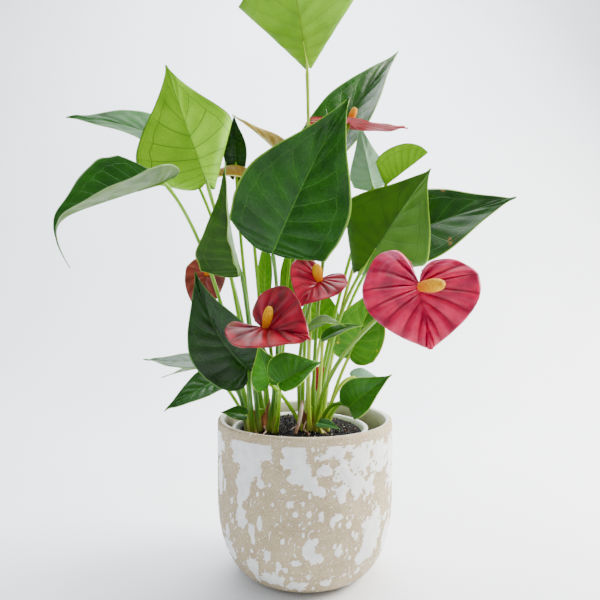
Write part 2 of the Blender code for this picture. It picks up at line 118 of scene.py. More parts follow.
class Dye:
    """A material being put together: its node tree, with short ways to wire the usual sums."""

    def __init__(self, name: str) -> None:
        """Start an empty Principled material under the given name."""
        self.material = bpy.data.materials.new(name)
        self.material.use_nodes = True
        self.tree = self.material.node_tree
        self.shader = self.tree.nodes["Principled BSDF"]

    def sum(self, operation: str, first: object, second: object = 0.0, third: object = 0.0) -> Socket:
        """Wire one step of arithmetic.

        Args:
            operation: The name of the sum, such as MULTIPLY.
            first: A socket or a number.
            second: Another.
            third: Another, where the sum has three.

        Returns:
            The result.
        """
        made = add_node(self.tree, "Math", {0: first, 1: second, 2: third}, operation=operation)
        return made.outputs[0]

    def step(self, value: object, low: object, high: object, start: float = 0, end: float = 1) -> Socket:
        """Wire a smooth step of a value.

        Args:
            value: The socket that the step follows.
            low: Where the step starts.
            high: Where it ends, which may be the lower of the two.
            start: The result at low.
            end: The result at high.

        Returns:
            The result.
        """
        sockets = {"Value": value, "From Min": low, "From Max": high, "To Min": start, "To Max": end}
        return add_node(self.tree, "MapRange", sockets, interpolation_type="SMOOTHSTEP").outputs["Result"]

    def mix(self, share: object, first: object, second: object) -> Socket:
        """Wire a blend of two colours.

        Args:
            share: How much of the second colour, from 0 to 1.
            first: A socket or a hex colour.
            second: Another.

        Returns:
            The blended colour.
        """
        colours = [linear(c) if isinstance(c, str) else c for c in (first, second)]
        made = add_node(self.tree, "Mix", {0: share, 6: colours[0], 7: colours[1]}, data_type="RGBA")
        return made.outputs[2]

    def grain(self, vector: object, size: float, detail: float = 3.0, roughness: float = 0.5) -> Socket:
        """Wire cloudy noise.

        Args:
            vector: Where on the piece the point is.
            size: Size of the features, in the vector's own units.
            detail: How many finer layers lie on it.
            roughness: How strong the finer layers are.

        Returns:
            The noise, about a half on the whole.
        """
        sockets = {"Vector": vector, "Scale": 1 / size, "Detail": detail, "Roughness": roughness}
        return add_node(self.tree, "TexNoise", sockets).outputs["Fac"]

    def cells(self, vector: object, size: float, feature: str = "F1", output: str = "Distance") -> Socket:
        """Wire a cell pattern.

        Args:
            vector: Where on the piece the point is.
            size: Size of the cells, in the vector's own units.
            feature: What is measured in a cell.
            output: Which output to take.

        Returns:
            The output.
        """
        made = add_node(self.tree, "TexVoronoi", {"Vector": vector, "Scale": 1 / size}, feature=feature)
        return made.outputs[output]

    def place(self) -> Socket:
        """Wire the point's own place on the object.

        Returns:
            The place as a vector, in metres.
        """
        return add_node(self.tree, "TexCoord").outputs["Object"]

    def place_mm(self, stretch: Point = (1.0, 1.0, 1.0)) -> Socket:
        """Wire the point's own place on the object, in millimetres.

        Args:
            stretch: Factors on X, Y and Z; below 1, a pattern is drawn out that way.

        Returns:
            The place as a vector.
        """
        scale = tuple(factor / MM for factor in stretch)
        return add_node(self.tree, "Mapping", {"Vector": self.place(), "Scale": scale}).outputs[0]

    def attribute(self, name: str) -> Socket:
        """Wire a number stored on the mesh.

        Args:
            name: What the number is stored as.

        Returns:
            The number.
        """
        return add_node(self.tree, "Attribute", attribute_name=name).outputs["Fac"]

    def plan(self, name: str) -> tuple[Socket, Socket, Socket]:
        """Wire one of the piece's own maps.

        Args:
            name: The map, plan or flat.

        Returns:
            Its vector and its two coordinates.
        """
        vector = add_node(self.tree, "UVMap", uv_map=name).outputs["UV"]
        split = add_node(self.tree, "SeparateXYZ", {0: vector})
        return vector, split.outputs["X"], split.outputs["Y"]

    def bump(self, height: object, depth_mm: float, strength: float = 1.0) -> None:
        """Wire a relief of a depth in millimetres into the shader's normal.

        Args:
            height: The relief, from 0 to 1.
            depth_mm: How deep it is in millimetres.
            strength: How much of it shows.
        """
        sockets = {"Height": height, "Distance": depth_mm * MM, "Strength": strength}
        normal = add_node(self.tree, "Bump", sockets).outputs["Normal"]
        self.tree.links.new(normal, self.shader.inputs["Normal"])

    def finish(self, colour: object, roughness: object, **constants: float) -> Material:
        """Wire colour and roughness, and set the shader's constant sockets.

        Args:
            colour: A socket or a hex colour.
            roughness: A socket or a number.
            constants: Numbers for other sockets, such as coat_weight.

        Returns:
            The material.
        """
        for name, value in (("Base Color", colour), ("Roughness", roughness)):
            if isinstance(value, Socket):
                self.tree.links.new(value, self.shader.inputs[name])
            else:
                self.shader.inputs[name].default_value = linear(value) if isinstance(value, str) else value
        for name, value in constants.items():
            self.shader.inputs[name.replace("_", " ").title().replace("Ior", "IOR")].default_value = value
        return self.material


def sheet(columns: int, rows: int, place: Callable[[float, float], tuple[Vector, float, float]]) -> Shape:
    """Shape a grid with a function, and keep two maps of it.

    Args:
        columns: Faces across.
        rows: Faces down.
        place: Gives, for across from -1 to 1 and down from 0 to 1, the point in millimetres and
            the point's width and length on the sheet laid flat, in millimetres.

    Returns:
        The shape in metres, with the maps "plan" (across, down) and "flat" (width, length).
    """
    shape = bmesh.new()
    bmesh.ops.create_grid(shape, x_segments=columns, y_segments=rows, size=1.0)
    plan, flat = shape.loops.layers.uv.new("plan"), shape.loops.layers.uv.new("flat")
    for vert in shape.verts:
        across, down = vert.co.x, (vert.co.y + 1) / 2
        point, width, length = place(across, down)
        vert.co = point * MM
        for loop in vert.link_loops:
            loop[plan].uv = (across, down)
            loop[flat].uv = (width, length)
    return shape


def tube(sides: int, route: Sequence[Vector], radius: Callable[[float, float], float]) -> Shape:
    """Shape a closed round tube along a smooth route.

    Args:
        sides: Faces round.
        route: Points in millimetres along the middle, close enough to need no more smoothing.
        radius: Gives the radius in millimetres for a turn from 0 to 1 and a share of the way.

    Returns:
        The shape in metres, with the maps that sheet gives.
    """
    frames, reach = [], [0.0]
    normal = Vector((0.0, 1.0, 0.0))
    for index, point in enumerate(route):
        heading = (route[min(index + 1, len(route) - 1)] - route[max(index - 1, 0)]).normalized()
        normal = (normal - heading * normal.dot(heading)).normalized()
        frames.append((point, normal.copy(), heading.cross(normal)))
        if index:
            reach.append(reach[-1] + (point - route[index - 1]).length)

    def place(across: float, down: float) -> tuple[Vector, float, float]:
        """Give the tube's point for a place on the grid.

        Args:
            across: From -1 to 1, once round.
            down: From 0 to 1 along the route.

        Returns:
            The point, and its width and length on the tube laid flat.
        """
        index = round(down * (len(route) - 1))
        middle, side, other = frames[index]
        turn = (across + 1) / 2
        size = radius(turn, down)
        point = middle + (side * cos(2 * pi * turn) + other * sin(2 * pi * turn)) * size
        return point, turn * 2 * pi * size, reach[index]

    shape = sheet(sides, len(route) - 1, place)
    bmesh.ops.remove_doubles(shape, verts=shape.verts, dist=0.001 * MM)
    bmesh.ops.holes_fill(shape, edges=shape.edges, sides=sides)
    bmesh.ops.recalc_face_normals(shape, faces=shape.faces)
    return shape


def turned(profile: Sequence[tuple[float, float]], segments: int, centre_x: float = 0.0) -> Shape:
    """Turn a profile of radius and height in millimetres about an upright axis.

    Args:
        profile: Radius and height pairs, from the axis out, up, over and back to the axis.
        segments: Faces round.
        centre_x: Where the axis stands.

    Returns:
        The closed shape in metres.
    """
    shape = bmesh.new()
    verts = [shape.verts.new(Vector((r, 0.0, z)) * MM) for r, z in profile]
    edges = [shape.edges.new(pair) for pair in zip(verts, verts[1:])]
    axis = {"cent": (0, 0, 0), "axis": (0, 0, 1), "angle": 2 * pi}
    bmesh.ops.spin(shape, geom=verts + edges, steps=segments, use_merge=True, **axis)
    bmesh.ops.remove_doubles(shape, verts=shape.verts, dist=0.001 * MM)
    bmesh.ops.recalc_face_normals(shape, faces=shape.faces)
    bmesh.ops.translate(shape, verts=shape.verts, vec=(centre_x * MM, 0, 0))
    return shape


def curve(points: Sequence[Sequence[float]], share: float) -> Vector:
    """Read a smooth curve through points at a share of the way along.

    Args:
        points: Numbers or vectors that the curve passes through.
        share: From 0 to 1.

    Returns:
        The point.
    """
    place = share * (len(points) - 1)
    step = min(int(place), len(points) - 2)
    t = place - step
    before, start = Vector(points[max(step - 1, 0)]), Vector(points[step])
    end, after = Vector(points[step + 1]), Vector(points[min(step + 2, len(points) - 1)])
    lean_in, lean_out = (end - before) / 2, (after - start) / 2
    return (
        start * (2 * t**3 - 3 * t**2 + 1)
        + lean_in * (t**3 - 2 * t**2 + t)
        + end * (3 * t**2 - 2 * t**3)
        + lean_out * (t**3 - t**2)
    )


def add_piece(
    name: str,
    shape: Shape,
    looks: Sequence[Material],
    nodes: Sequence[str] = (),
    wall: float = 0.0,
) -> bpy.types.Object:
    """Turn a shape into a piece of the plant.

    Args:
        name: The piece's name.
        shape: The mesh in metres, which this uses up.
        looks: Its materials; a sheet's second one is its underside.
        nodes: The CAD nodes that it stands for.
        wall: Thickness in millimetres to give a sheet.

    Returns:
        The new object, riding on the root body.
    """
    mesh = bpy.data.meshes.new(name)
    shape.to_mesh(mesh)
    shape.free()
    for look in looks:
        mesh.materials.append(look)
    mesh.shade_smooth()
    piece = bpy.data.objects.new(name, mesh)
    bpy.context.scene.collection.objects.link(piece)
    if wall:
        thickness = piece.modifiers.new("thickness", "SOLIDIFY")
        thickness.thickness = wall * MM
        thickness.offset = 0.0
        thickness.material_offset = len(looks) - 1
    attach(piece, "root")
    if nodes:
        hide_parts(*nodes)
    log.info("%s: %d faces", name, len(mesh.polygons))
    return piece


# --- Finishes -----------------------------------------------------------------------------------


class Side(Enum):
    """The two sides of a blade."""

    UPPER = "upper"
    UNDER = "under"


# Veins bend towards the tip as they run out to the margin, by this share of the blade's plan.
VEIN_SWEEP = 0.035


def side_vein_saw(dye: Dye, reach: Socket, down: Socket, ribs: int) -> Socket:
    """Wire how far a point of a blade lies from its nearest side vein.

    Args:
        dye: The material.
        reach: From 0 at the midrib to 1 at the margin.
        down: From 0 at the notch to 1 at the tip.
        ribs: How many side veins each half has.

    Returns:
        0 on a vein, and a half midway between two.
    """
    bend = dye.sum("MULTIPLY", dye.sum("MULTIPLY", reach, reach), VEIN_SWEEP)
    swept = dye.sum("SUBTRACT", down, bend)
    return dye.sum("PINGPONG", dye.sum("MULTIPLY", swept, float(ribs)), 0.5)


@dataclass(frozen=True)
class LeafFinish:
    """Living anthurium leaf: a waxy skin over a net of veins that branch from the midrib.

    The wax gives broad soft highlights. The veins and the cut edge are paler than the skin, and
    on the underside they stand proud and darker, because light comes through the skin round them.
    """

    name: str
    slot: str
    upper: str
    deep: str
    vein: str
    margin: str
    under: str
    under_deep: str
    under_vein: str
    roughness: float = 0.36
    coat: float = 0.12
    ribs: int = 11
    net_mm: float = 3.2
    vein_share: float = 0.24
    shine: float = 0.2
    blemish: str = ""

    def look(self, side: Side) -> Material:
        """Give the material of one side, and make it the first time.

        Args:
            side: Which side of the blade.

        Returns:
            The material.
        """
        name = f"{self.name}_{side.value}"
        return bpy.data.materials.get(name) or self._make(name, side)

    def _make(self, name: str, side: Side) -> Material:
        """Make the material of one side.

        Args:
            name: What to call it.
            side: Which side of the blade.

        Returns:
            The material.
        """
        dye = Dye(name)
        _, across, down = dye.plan("plan")
        flat, width, _ = dye.plan("flat")
        reach = dye.sum("ABSOLUTE", across)
        midrib, side_veins, net, saw = self._veins(dye, reach, down, width, flat)
        veins = dye.sum("MAXIMUM", midrib, side_veins)

        upper = side is Side.UPPER
        skin, deep, vein = self.upper, self.deep, self.vein
        if not upper:
            skin, deep, vein = self.under, self.under_deep, self.under_vein
        patches = dye.step(dye.grain(flat, 26.0, 4.0), 0.38, 0.66)
        mottle = dye.grain(flat, 1.6, 2.0)
        colour = dye.mix(patches, skin, deep)
        colour = dye.mix(dye.step(mottle, 0.3, 0.75, 0.0, 0.25), colour, deep)
        between = dye.sum("MULTIPLY", dye.step(saw, 0.1, 0.5), 0.35)
        colour = dye.mix(between, colour, deep if upper else skin)
        strength = self.vein_share if upper else self.vein_share * 1.3
        colour = dye.mix(dye.sum("MULTIPLY", net, strength * 0.22), colour, vein)
        colour = dye.mix(dye.sum("MULTIPLY", side_veins, strength), colour, vein)
        colour = dye.mix(dye.sum("MULTIPLY", midrib, 0.65), colour, vein)
        if self.blemish:
            spots = dye.step(dye.grain(flat, 17.0, 5.0, 0.6), 0.60, 0.66)
            colour = dye.mix(dye.sum("MULTIPLY", spots, 0.9), colour, self.blemish)
        edge = dye.step(reach, 0.955, 0.99, 0.0, 0.8)
        colour = dye.mix(edge, colour, self.margin)

        ridge = dye.sum("ADD", veins, dye.sum("MULTIPLY", net, 0.3))
        signed = dye.sum("MULTIPLY", ridge, -1.0 if upper else 1.0)
        relief = dye.sum("ADD", signed, dye.sum("MULTIPLY", dye.grain(flat, 0.7, 2.0), 0.25))
        dye.bump(relief, 0.22, 0.7)
        gloss = dye.step(dye.grain(flat, 9.0, 5.0), 0.3, 0.8, self.roughness - 0.07, self.roughness + 0.16)
        rough = gloss if upper else dye.sum("ADD", gloss, 0.12)
        coat = self.coat if upper else 0.0
        return dye.finish(
            colour, rough, specular_ior_level=self.shine, coat_weight=coat, coat_roughness=0.25)

    def _veins(
        self, dye: Dye, reach: object, down: object, width: object, flat: object
    ) -> tuple[Socket, Socket, Socket, Socket]:
        """Wire the midrib, the side veins, the net between them and the distance from a side vein.

        Args:
            dye: The material.
            reach: From 0 at the midrib to 1 at the margin.
            down: From 0 at the notch to 1 at the tip.
            width: From the midrib, in millimetres.
            flat: The place on the blade laid flat, in millimetres.

        Returns:
            The four, each from 0 to 1.
        """
        saw = side_vein_saw(dye, reach, down, self.ribs)
        thin = dye.sum("SUBTRACT", 0.062, dye.sum("MULTIPLY", reach, 0.03))
        ribs = dye.step(saw, dye.sum("MULTIPLY", thin, 0.3), thin, 1.0, 0.0)
        ribs = dye.sum("MULTIPLY", ribs, dye.step(reach, 0.66, 0.86, 0.9, 0.25))
        collector = dye.step(down, 0.0, 0.34, 0.02, 0.74)
        off = dye.sum("SUBTRACT", dye.sum("SUBTRACT", reach, collector), dye.sum("MULTIPLY", saw, 0.07))
        loops = dye.step(dye.sum("ABSOLUTE", off), 0.003, 0.014, 1.0, 0.0)
        outer = dye.sum("SUBTRACT", dye.sum("SUBTRACT", reach, 0.9), dye.sum("MULTIPLY", saw, 0.06))
        outer_loops = dye.step(dye.sum("ABSOLUTE", outer), 0.002, 0.009, 0.5, 0.0)
        side_veins = dye.sum("MAXIMUM", ribs, dye.sum("MAXIMUM", loops, outer_loops))
        taper = dye.sum("SUBTRACT", 0.85, dye.sum("MULTIPLY", down, 0.6))
        midrib = dye.step(dye.sum("ABSOLUTE", width), dye.sum("MULTIPLY", taper, 0.5), taper, 1.0, 0.0)
        net = dye.step(dye.cells(flat, self.net_mm, "DISTANCE_TO_EDGE"), 0.0, 0.09, 1.0, 0.0)
        return midrib, side_veins, net, saw


@dataclass(frozen=True)
class SpatheFinish:
    """Anthurium spathe: a leathery bract with a lacquered, wet-looking skin, ribbed along its veins.

    The lacquer gives small sharp highlights along every rib, and a painted highlight lies along the
    crest between each pair of veins, strongest on the lobes. The colour is deepest beside the
    spadix and fades on the lobes and at the rolled edge; that paler colour is partly real fading and
    partly painted sheen, and the dark vein lines in the valleys are partly painted shade.
    """

    name: str
    slot: str
    face: str
    deep: str
    rib: str
    lobe: str
    back: str
    roughness: float = 0.3
    coat: float = 0.08
    ribs: int = 9
    lobe_reach: float = 0.5

    def look(self, side: Side) -> Material:
        """Give the material of one side, and make it the first time.

        Args:
            side: Which side of the blade.

        Returns:
            The material.
        """
        name = f"{self.name}_{side.value}"
        return bpy.data.materials.get(name) or self._make(name, side)

    def _make(self, name: str, side: Side) -> Material:
        """Make the material of one side.

        Args:
            name: What to call it.
            side: Which side of the blade.

        Returns:
            The material.
        """
        dye = Dye(name)
        plan, across, down = dye.plan("plan")
        flat, width, _ = dye.plan("flat")
        reach = dye.sum("ABSOLUTE", across)
        saw = side_vein_saw(dye, reach, down, self.ribs)
        rib = dye.step(saw, 0.02, 0.16, 1.0, 0.0)

        upper = side is Side.UPPER
        patches = dye.step(dye.grain(flat, 14.0, 4.0), 0.35, 0.7)
        base = dye.mix(patches, self.face if upper else self.back, self.deep)
        fine = dye.step(dye.grain(flat, 1.1, 2.0), 0.35, 0.8, 0.0, 0.08)
        colour = dye.mix(fine, base, self.rib)
        # On the upper side the vein lines in the valleys are painted deep: partly their own colour and
        # partly painted shade in the creases.
        colour = dye.mix(dye.sum("MULTIPLY", rib, 0.7), colour, self.deep if upper else self.rib)
        on_lobe = dye.sum("MULTIPLY", dye.step(down, 0.34, 0.08), dye.step(reach, self.lobe_reach, 0.97))
        # Painted highlight: the crest of each swelling between the veins is painted toward the paler rib
        # colour, more on the lobes, as a painted sheen.
        painted_sheen_strength = dye.sum("ADD", dye.sum("MULTIPLY", on_lobe, 0.5), 0.12)
        painted_ridge_sheen = dye.sum("MULTIPLY", dye.step(saw, 0.26, 0.48), painted_sheen_strength)
        colour = dye.mix(painted_ridge_sheen, colour, self.rib)
        # The lobes and the rolled edge are streaked toward the lobe colour: partly a real fading of the
        # spathe and partly a painted sheen, on the pink spathe most of all.
        edge = dye.sum("MAXIMUM", on_lobe, dye.step(reach, 0.93, 1.0, 0.0, 0.7))
        streaks = dye.step(dye.grain(plan, 0.09, 3.0), 0.42, 0.66)
        colour = dye.mix(dye.sum("MULTIPLY", edge, streaks), colour, self.lobe)
        throat = dye.step(dye.sum("ABSOLUTE", width), 1.0, 5.0, 0.2, 0.0)
        colour = dye.mix(dye.sum("MULTIPLY", throat, dye.step(down, 0.7, 0.1)), colour, self.rib)

        leather = dye.sum("MULTIPLY", dye.grain(flat, 1.4, 3.0), 0.5)
        dye.bump(dye.sum("ADD", dye.sum("MULTIPLY", saw, 0.9), leather), 0.35, 0.6)
        gloss = dye.step(dye.grain(flat, 6.0, 3.0), 0.3, 0.8, self.roughness, self.roughness + 0.12)
        rough = gloss if upper else dye.sum("ADD", gloss, 0.22)
        coat = self.coat if upper else 0.02
        return dye.finish(colour, rough, specular_ior_level=0.26, coat_weight=coat, coat_roughness=0.18)


@dataclass(frozen=True)
class StalkFinish:
    """Leaf and flower stalk: smooth waxy skin over long fibres, which show as fine lengthwise streaks."""

    name: str
    light: str
    dark: str
    base: str
    roughness: float = 0.38

    def look(self) -> Material:
        """Give the material, and make it the first time.

        Returns:
            The material.
        """
        return bpy.data.materials.get(self.name) or self._make()

    def _make(self) -> Material:
        """Make the material.

        Returns:
            The material.
        """
        dye = Dye(self.name)
        flat, _, length = dye.plan("flat")
        stretch = add_node(dye.tree, "Mapping", {"Vector": flat, "Scale": (1.6, 0.06, 1.0)}).outputs[0]
        streaks = dye.step(dye.grain(stretch, 1.0, 3.0), 0.35, 0.68)
        colour = dye.mix(streaks, self.light, self.dark)
        ragged = dye.sum("ADD", length, dye.sum("MULTIPLY", dye.grain(flat, 4.0), 12.0))
        foot = dye.step(ragged, 8.0, 26.0, 0.8, 0.0)
        colour = dye.mix(foot, colour, self.base)
        freckles = dye.step(dye.cells(flat, 2.2), 0.16, 0.10)
        colour = dye.mix(dye.sum("MULTIPLY", freckles, 0.35), colour, self.dark)
        dye.bump(dye.grain(stretch, 0.6, 2.0), 0.15, 0.6)
        return dye.finish(colour, self.roughness, ior=1.42, coat_weight=0.1, coat_roughness=0.25)


@dataclass(frozen=True)
class PlainFinish:
    """A surface with one kind of mottling all over, such as bark, perlite, a dry bract or plastic."""

    name: str
    light: str
    dark: str
    grain_mm: float
    roughness: float
    depth_mm: float
    stretch: Point = (1.0, 1.0, 1.0)
    low: float = 0.35
    high: float = 0.65
    shine: float = 0.4

    def look(self) -> Material:
        """Give the material, and make it the first time.

        Returns:
            The material.
        """
        return bpy.data.materials.get(self.name) or self._make()

    def _make(self) -> Material:
        """Make the material.

        Returns:
            The material.
        """
        dye = Dye(self.name)
        place = dye.place_mm(self.stretch)
        coarse = dye.grain(place, self.grain_mm, 5.0)
        fine = dye.grain(place, self.grain_mm / 5, 3.0)
        colour = dye.mix(dye.step(coarse, self.low, self.high), self.light, self.dark)
        colour = dye.mix(dye.step(fine, 0.4, 0.8, 0.0, 0.4), colour, self.dark)
        dye.bump(dye.sum("ADD", coarse, dye.sum("MULTIPLY", fine, 0.5)), self.depth_mm)
        rough = dye.step(fine, 0.2, 0.8, self.roughness - 0.08, self.roughness + 0.08)
        return dye.finish(colour, rough, specular_ior_level=self.shine)


DEEP_GREEN = LeafFinish(
    "deep_green_leaf", "leaf_green", upper="#1c5400", deep="#0f3c00", vein="#48801c",
    margin="#84b03c", under="#4c7c1c", under_deep="#386410", under_vein="#2c5008",
    roughness=0.27, coat=0.12)
# Its green is darker than the deep green's: partly the leaf's own colour and partly painted shade.
DARK_GREEN = LeafFinish(
    "dark_green_leaf", "leaf_green", upper="#123a00", deep="#082400", vein="#2e5c12",
    margin="#4c7c2c", under="#447020", under_deep="#305814", under_vein="#1f400c",
    roughness=0.30, coat=0.08)
MID_GREEN = LeafFinish(
    "mid_green_leaf", "leaf_green", upper="#2f7200", deep="#1d5600", vein="#609a24",
    margin="#93bc3c", under="#6c9c18", under_deep="#50800c", under_vein="#3c680c",
    roughness=0.32, coat=0.08)
LIT_GREEN = LeafFinish(
    "backlit_young_leaf", "leaf_lit", upper="#62a008", deep="#4c8804", vein="#9ccc3c",
    margin="#4c7408", under="#84bc14", under_deep="#68a004", under_vein="#3c6c00",
    roughness=0.46, coat=0.04, vein_share=0.6)
OLIVE_GREEN = LeafFinish(
    "backlit_olive_leaf", "leaf_lit", upper="#4a7800", deep="#386200", vein="#84aa28",
    margin="#6c9414", under="#386400", under_deep="#2a5200", under_vein="#1c3c00",
    roughness=0.42, coat=0.06)
OLIVE_LIT = LeafFinish(
    "backlit_top_leaf", "leaf_lit", upper="#5a8c00", deep="#457400", vein="#98bc30",
    margin="#507800", under="#689a00", under_deep="#508000", under_vein="#585c00",
    roughness=0.46, coat=0.04)
GREY_BACKED = LeafFinish(
    "grey_backed_leaf", "leaf_green", upper="#1f5a04", deep="#114200", vein="#50843c",
    margin="#88a468", under="#507028", under_deep="#385818", under_vein="#34501c",
    roughness=0.36, coat=0.08)
OLIVE_DARK = LeafFinish(
    "dark_olive_leaf", "leaf_green", upper="#346400", deep="#1f4600", vein="#6c9024",
    margin="#84a03c", under="#40700c", under_deep="#2a5404", under_vein="#1f4000",
    roughness=0.36, coat=0.12)
GREY_GREEN = LeafFinish(
    "grey_green_leaf", "leaf_pale", upper="#245c1c", deep="#123f0c", vein="#5c9450",
    margin="#84ac68", under="#6c8c4c", under_deep="#4c6c30", under_vein="#3c5820",
    roughness=0.58, coat=0.0)
PALE_GREEN = LeafFinish(
    "pale_blue_green_leaf", "leaf_pale", upper="#86b090", deep="#649878", vein="#b0d0b4",
    margin="#bcd4a8", under="#90b898", under_deep="#74a080", under_vein="#60906c",
    roughness=0.46, coat=0.04)
BRONZE = LeafFinish(
    "bronze_young_leaf", "leaf_bronze", upper="#8c7800", deep="#645000", vein="#b4a030",
    margin="#bcb44c", under="#a08c00", under_deep="#745f00", under_vein="#5c4800",
    roughness=0.34, coat=0.15)
TAN = LeafFinish(
    "tan_young_leaf", "leaf_bronze", upper="#b08418", deep="#84580c", vein="#ccb438",
    margin="#b4c43c", under="#c8a040", under_deep="#a87434", under_vein="#907810",
    roughness=0.36, coat=0.15)
YELLOWING = LeafFinish(
    "yellowing_leaf", "leaf_lit", upper="#4c8c0c", deep="#2c6808", vein="#9cc434",
    margin="#c0bc2c", under="#80b018", under_deep="#609008", under_vein="#508004",
    roughness=0.40, coat=0.06, blemish="#b4b024")
SPOTTED_GREEN = LeafFinish(
    "spotted_green_leaf", "leaf_green", upper="#184a00", deep="#0c3400", vein="#487c18",
    margin="#8cb43c", under="#507c1c", under_deep="#386410", under_vein="#285008",
    roughness=0.36, coat=0.1, blemish="#7d5a22")

# The pink spathe's pale lobe colour stands in for the sheen on its lobes: a painted sheen.
PINK_RED = SpatheFinish(
    "pink_red_spathe", "spathe_red", face="#cc0040", deep="#84002c", rib="#ec5080",
    lobe="#c86484", back="#a83850",
    lobe_reach=0.45)
CRIMSON = SpatheFinish(
    "crimson_spathe", "spathe_red", face="#ac0030", deep="#6c0018", rib="#d83058",
    lobe="#8c3044", back="#94182c",
    lobe_reach=0.6)
DEEP_RED = SpatheFinish(
    "deep_red_spathe", "spathe_deep", face="#a00024", deep="#580010", rib="#c41c3c",
    lobe="#6c4c28", back="#7a4a2a",
    ribs=7, lobe_reach=0.66)
FADED_RED = SpatheFinish(
    "faded_spathe", "spathe_faded", face="#8c2c28", deep="#5c1c14", rib="#b07860",
    lobe="#80803c", back="#803c28", roughness=0.34, coat=0.1)
EDGE_RED = SpatheFinish(
    "edge_on_spathe", "spathe_red", face="#a80c20", deep="#6c0410", rib="#cc4858",
    lobe="#b46450", back="#a81c30")

FRESH_STALK = StalkFinish("fresh_green_stalk", "#84b41c", "#5c9008", "#a09a48")
YELLOW_STALK = StalkFinish("yellow_green_stalk", "#b0cc34", "#88ac1c", "#a09a48")
DARK_STALK = StalkFinish("dark_green_stalk", "#4c8010", "#306004", "#788030")
FLOWER_STALK = StalkFinish("flower_stalk", "#709c18", "#50780c", "#8a7838")

DRY_BRACT = PlainFinish("dry_bract", "#a0633a", "#4e1e12", 3.0, 0.62, 0.3, (1.0, 1.0, 0.15))
ROOT_SKIN = PlainFinish("aerial_root_skin", "#c9b3a2", "#86573a", 4.0, 0.6, 0.25, (1.0, 1.0, 0.5))
PEAT = PlainFinish("peat", "#16120f", "#050404", 1.6, 0.8, 0.5, shine=0.15)
BARK = PlainFinish("pine_bark", "#6d4226", "#2c170d", 1.5, 0.8, 0.4, (1.0, 1.0, 2.5))
PERLITE = PlainFinish("perlite", "#e4e2d4", "#a9aa86", 1.0, 0.8, 0.2)
MOSS_BITS = PlainFinish("moss_bits", "#9aa04a", "#4c5420", 1.2, 0.75, 0.2)
CUT_END = PlainFinish("dried_cut_end", "#3a2c1c", "#120c08", 0.8, 0.8, 0.2)
NURSERY_PLASTIC = PlainFinish("moulded_polypropylene", "#dfe2de", "#c6cac6", 6.0, 0.42, 0.08)
SILICONE = PlainFinish("silicone_pad", "#ecece6", "#dcdcd4", 1.5, 0.3, 0.05)


# --- Leaves -------------------------------------------------------------------------------------

# Half outlines, as shares of joint-to-tip length and of half width; negative lengths are lobes,
# as shares of the lobe's own length.
LEAF_OUTLINE = (
    (-0.55, 0.10), (-1.0, 0.36), (-0.80, 0.66), (-0.05, 0.90), (0.16, 1.0), (0.36, 0.96),
    (0.54, 0.74), (0.72, 0.41), (0.87, 0.16), (0.95, 0.05), (1.0, 0.012),
)
TAPERED_OUTLINE = (
    (-0.55, 0.10), (-1.0, 0.40), (-0.60, 0.74), (0.0, 0.94), (0.13, 1.0), (0.25, 0.88),
    (0.40, 0.66), (0.57, 0.42), (0.74, 0.22), (0.88, 0.08), (1.0, 0.012),
)
SPATHE_OUTLINE = (
    (-0.62, 0.08), (-1.0, 0.30), (-0.90, 0.66), (-0.30, 0.93), (0.10, 1.0), (0.36, 0.92),
    (0.58, 0.72), (0.76, 0.46), (0.89, 0.22), (0.96, 0.08), (1.0, 0.02),
)
BLUNT_OUTLINE = (
    (-0.55, 0.10), (-1.0, 0.36), (-0.80, 0.66), (-0.05, 0.88), (0.16, 1.0), (0.36, 1.0),
    (0.56, 0.92), (0.76, 0.76), (0.90, 0.52), (0.975, 0.27), (1.0, 0.04),
)
CREASE = 7.0  # radius of the bend where a lobe folds right back
ROUNDING = 0.12  # lobes shorter than this share of the length leave a rounded base
STALK_SIDES = 14


@dataclass(frozen=True)
class Blade:
    """A leaf blade or a spathe, placed by its joint, its tip and the way its upper side faces.

    Pairs hold the left and the right half. Angles are in degrees, and lobes and hinges are shares
    of the length.
    """

    joint: Point
    tip: Point
    face: Point
    width: float
    arch: float = 5.0
    folds: tuple[float, float] = (12.0, 12.0)
    lobes: tuple[float, float] = (0.12, 0.12)
    ears: tuple[float, float] = (20.0, 20.0)
    hinges: tuple[float, float] = (0.3, 0.3)
    bow: float = 0.0
    hook: float = 0.0
    cup: float = 0.0
    taper: float = 0.0

    def axes(self) -> tuple[float, Vector, Vector, Vector]:
        """Give the blade's own axes.

        Returns:
            The length, and the unit vectors to the tip, to the right and out of the upper side.
        """
        along = Vector(self.tip) - Vector(self.joint)
        length = along.length
        along.normalize()
        up = Vector(self.face)
        up = (up - along * up.dot(along)).normalized()
        return length, along, along.cross(up), up


@dataclass(frozen=True)
class Relief:
    """What lies on a blade's smooth form: swellings between the veins, a groove, and a wavy edge."""

    outline: tuple = LEAF_OUTLINE
    ribs: int = 11
    quilt: float = 0.45
    groove: float = 0.5
    wave: float = 0.9
    gather: float = 2.0  # how closely the side veins start by the joint
    crisp: float = 1.0  # below 1, the swellings meet in sharp valleys
    seed: float = 0.0


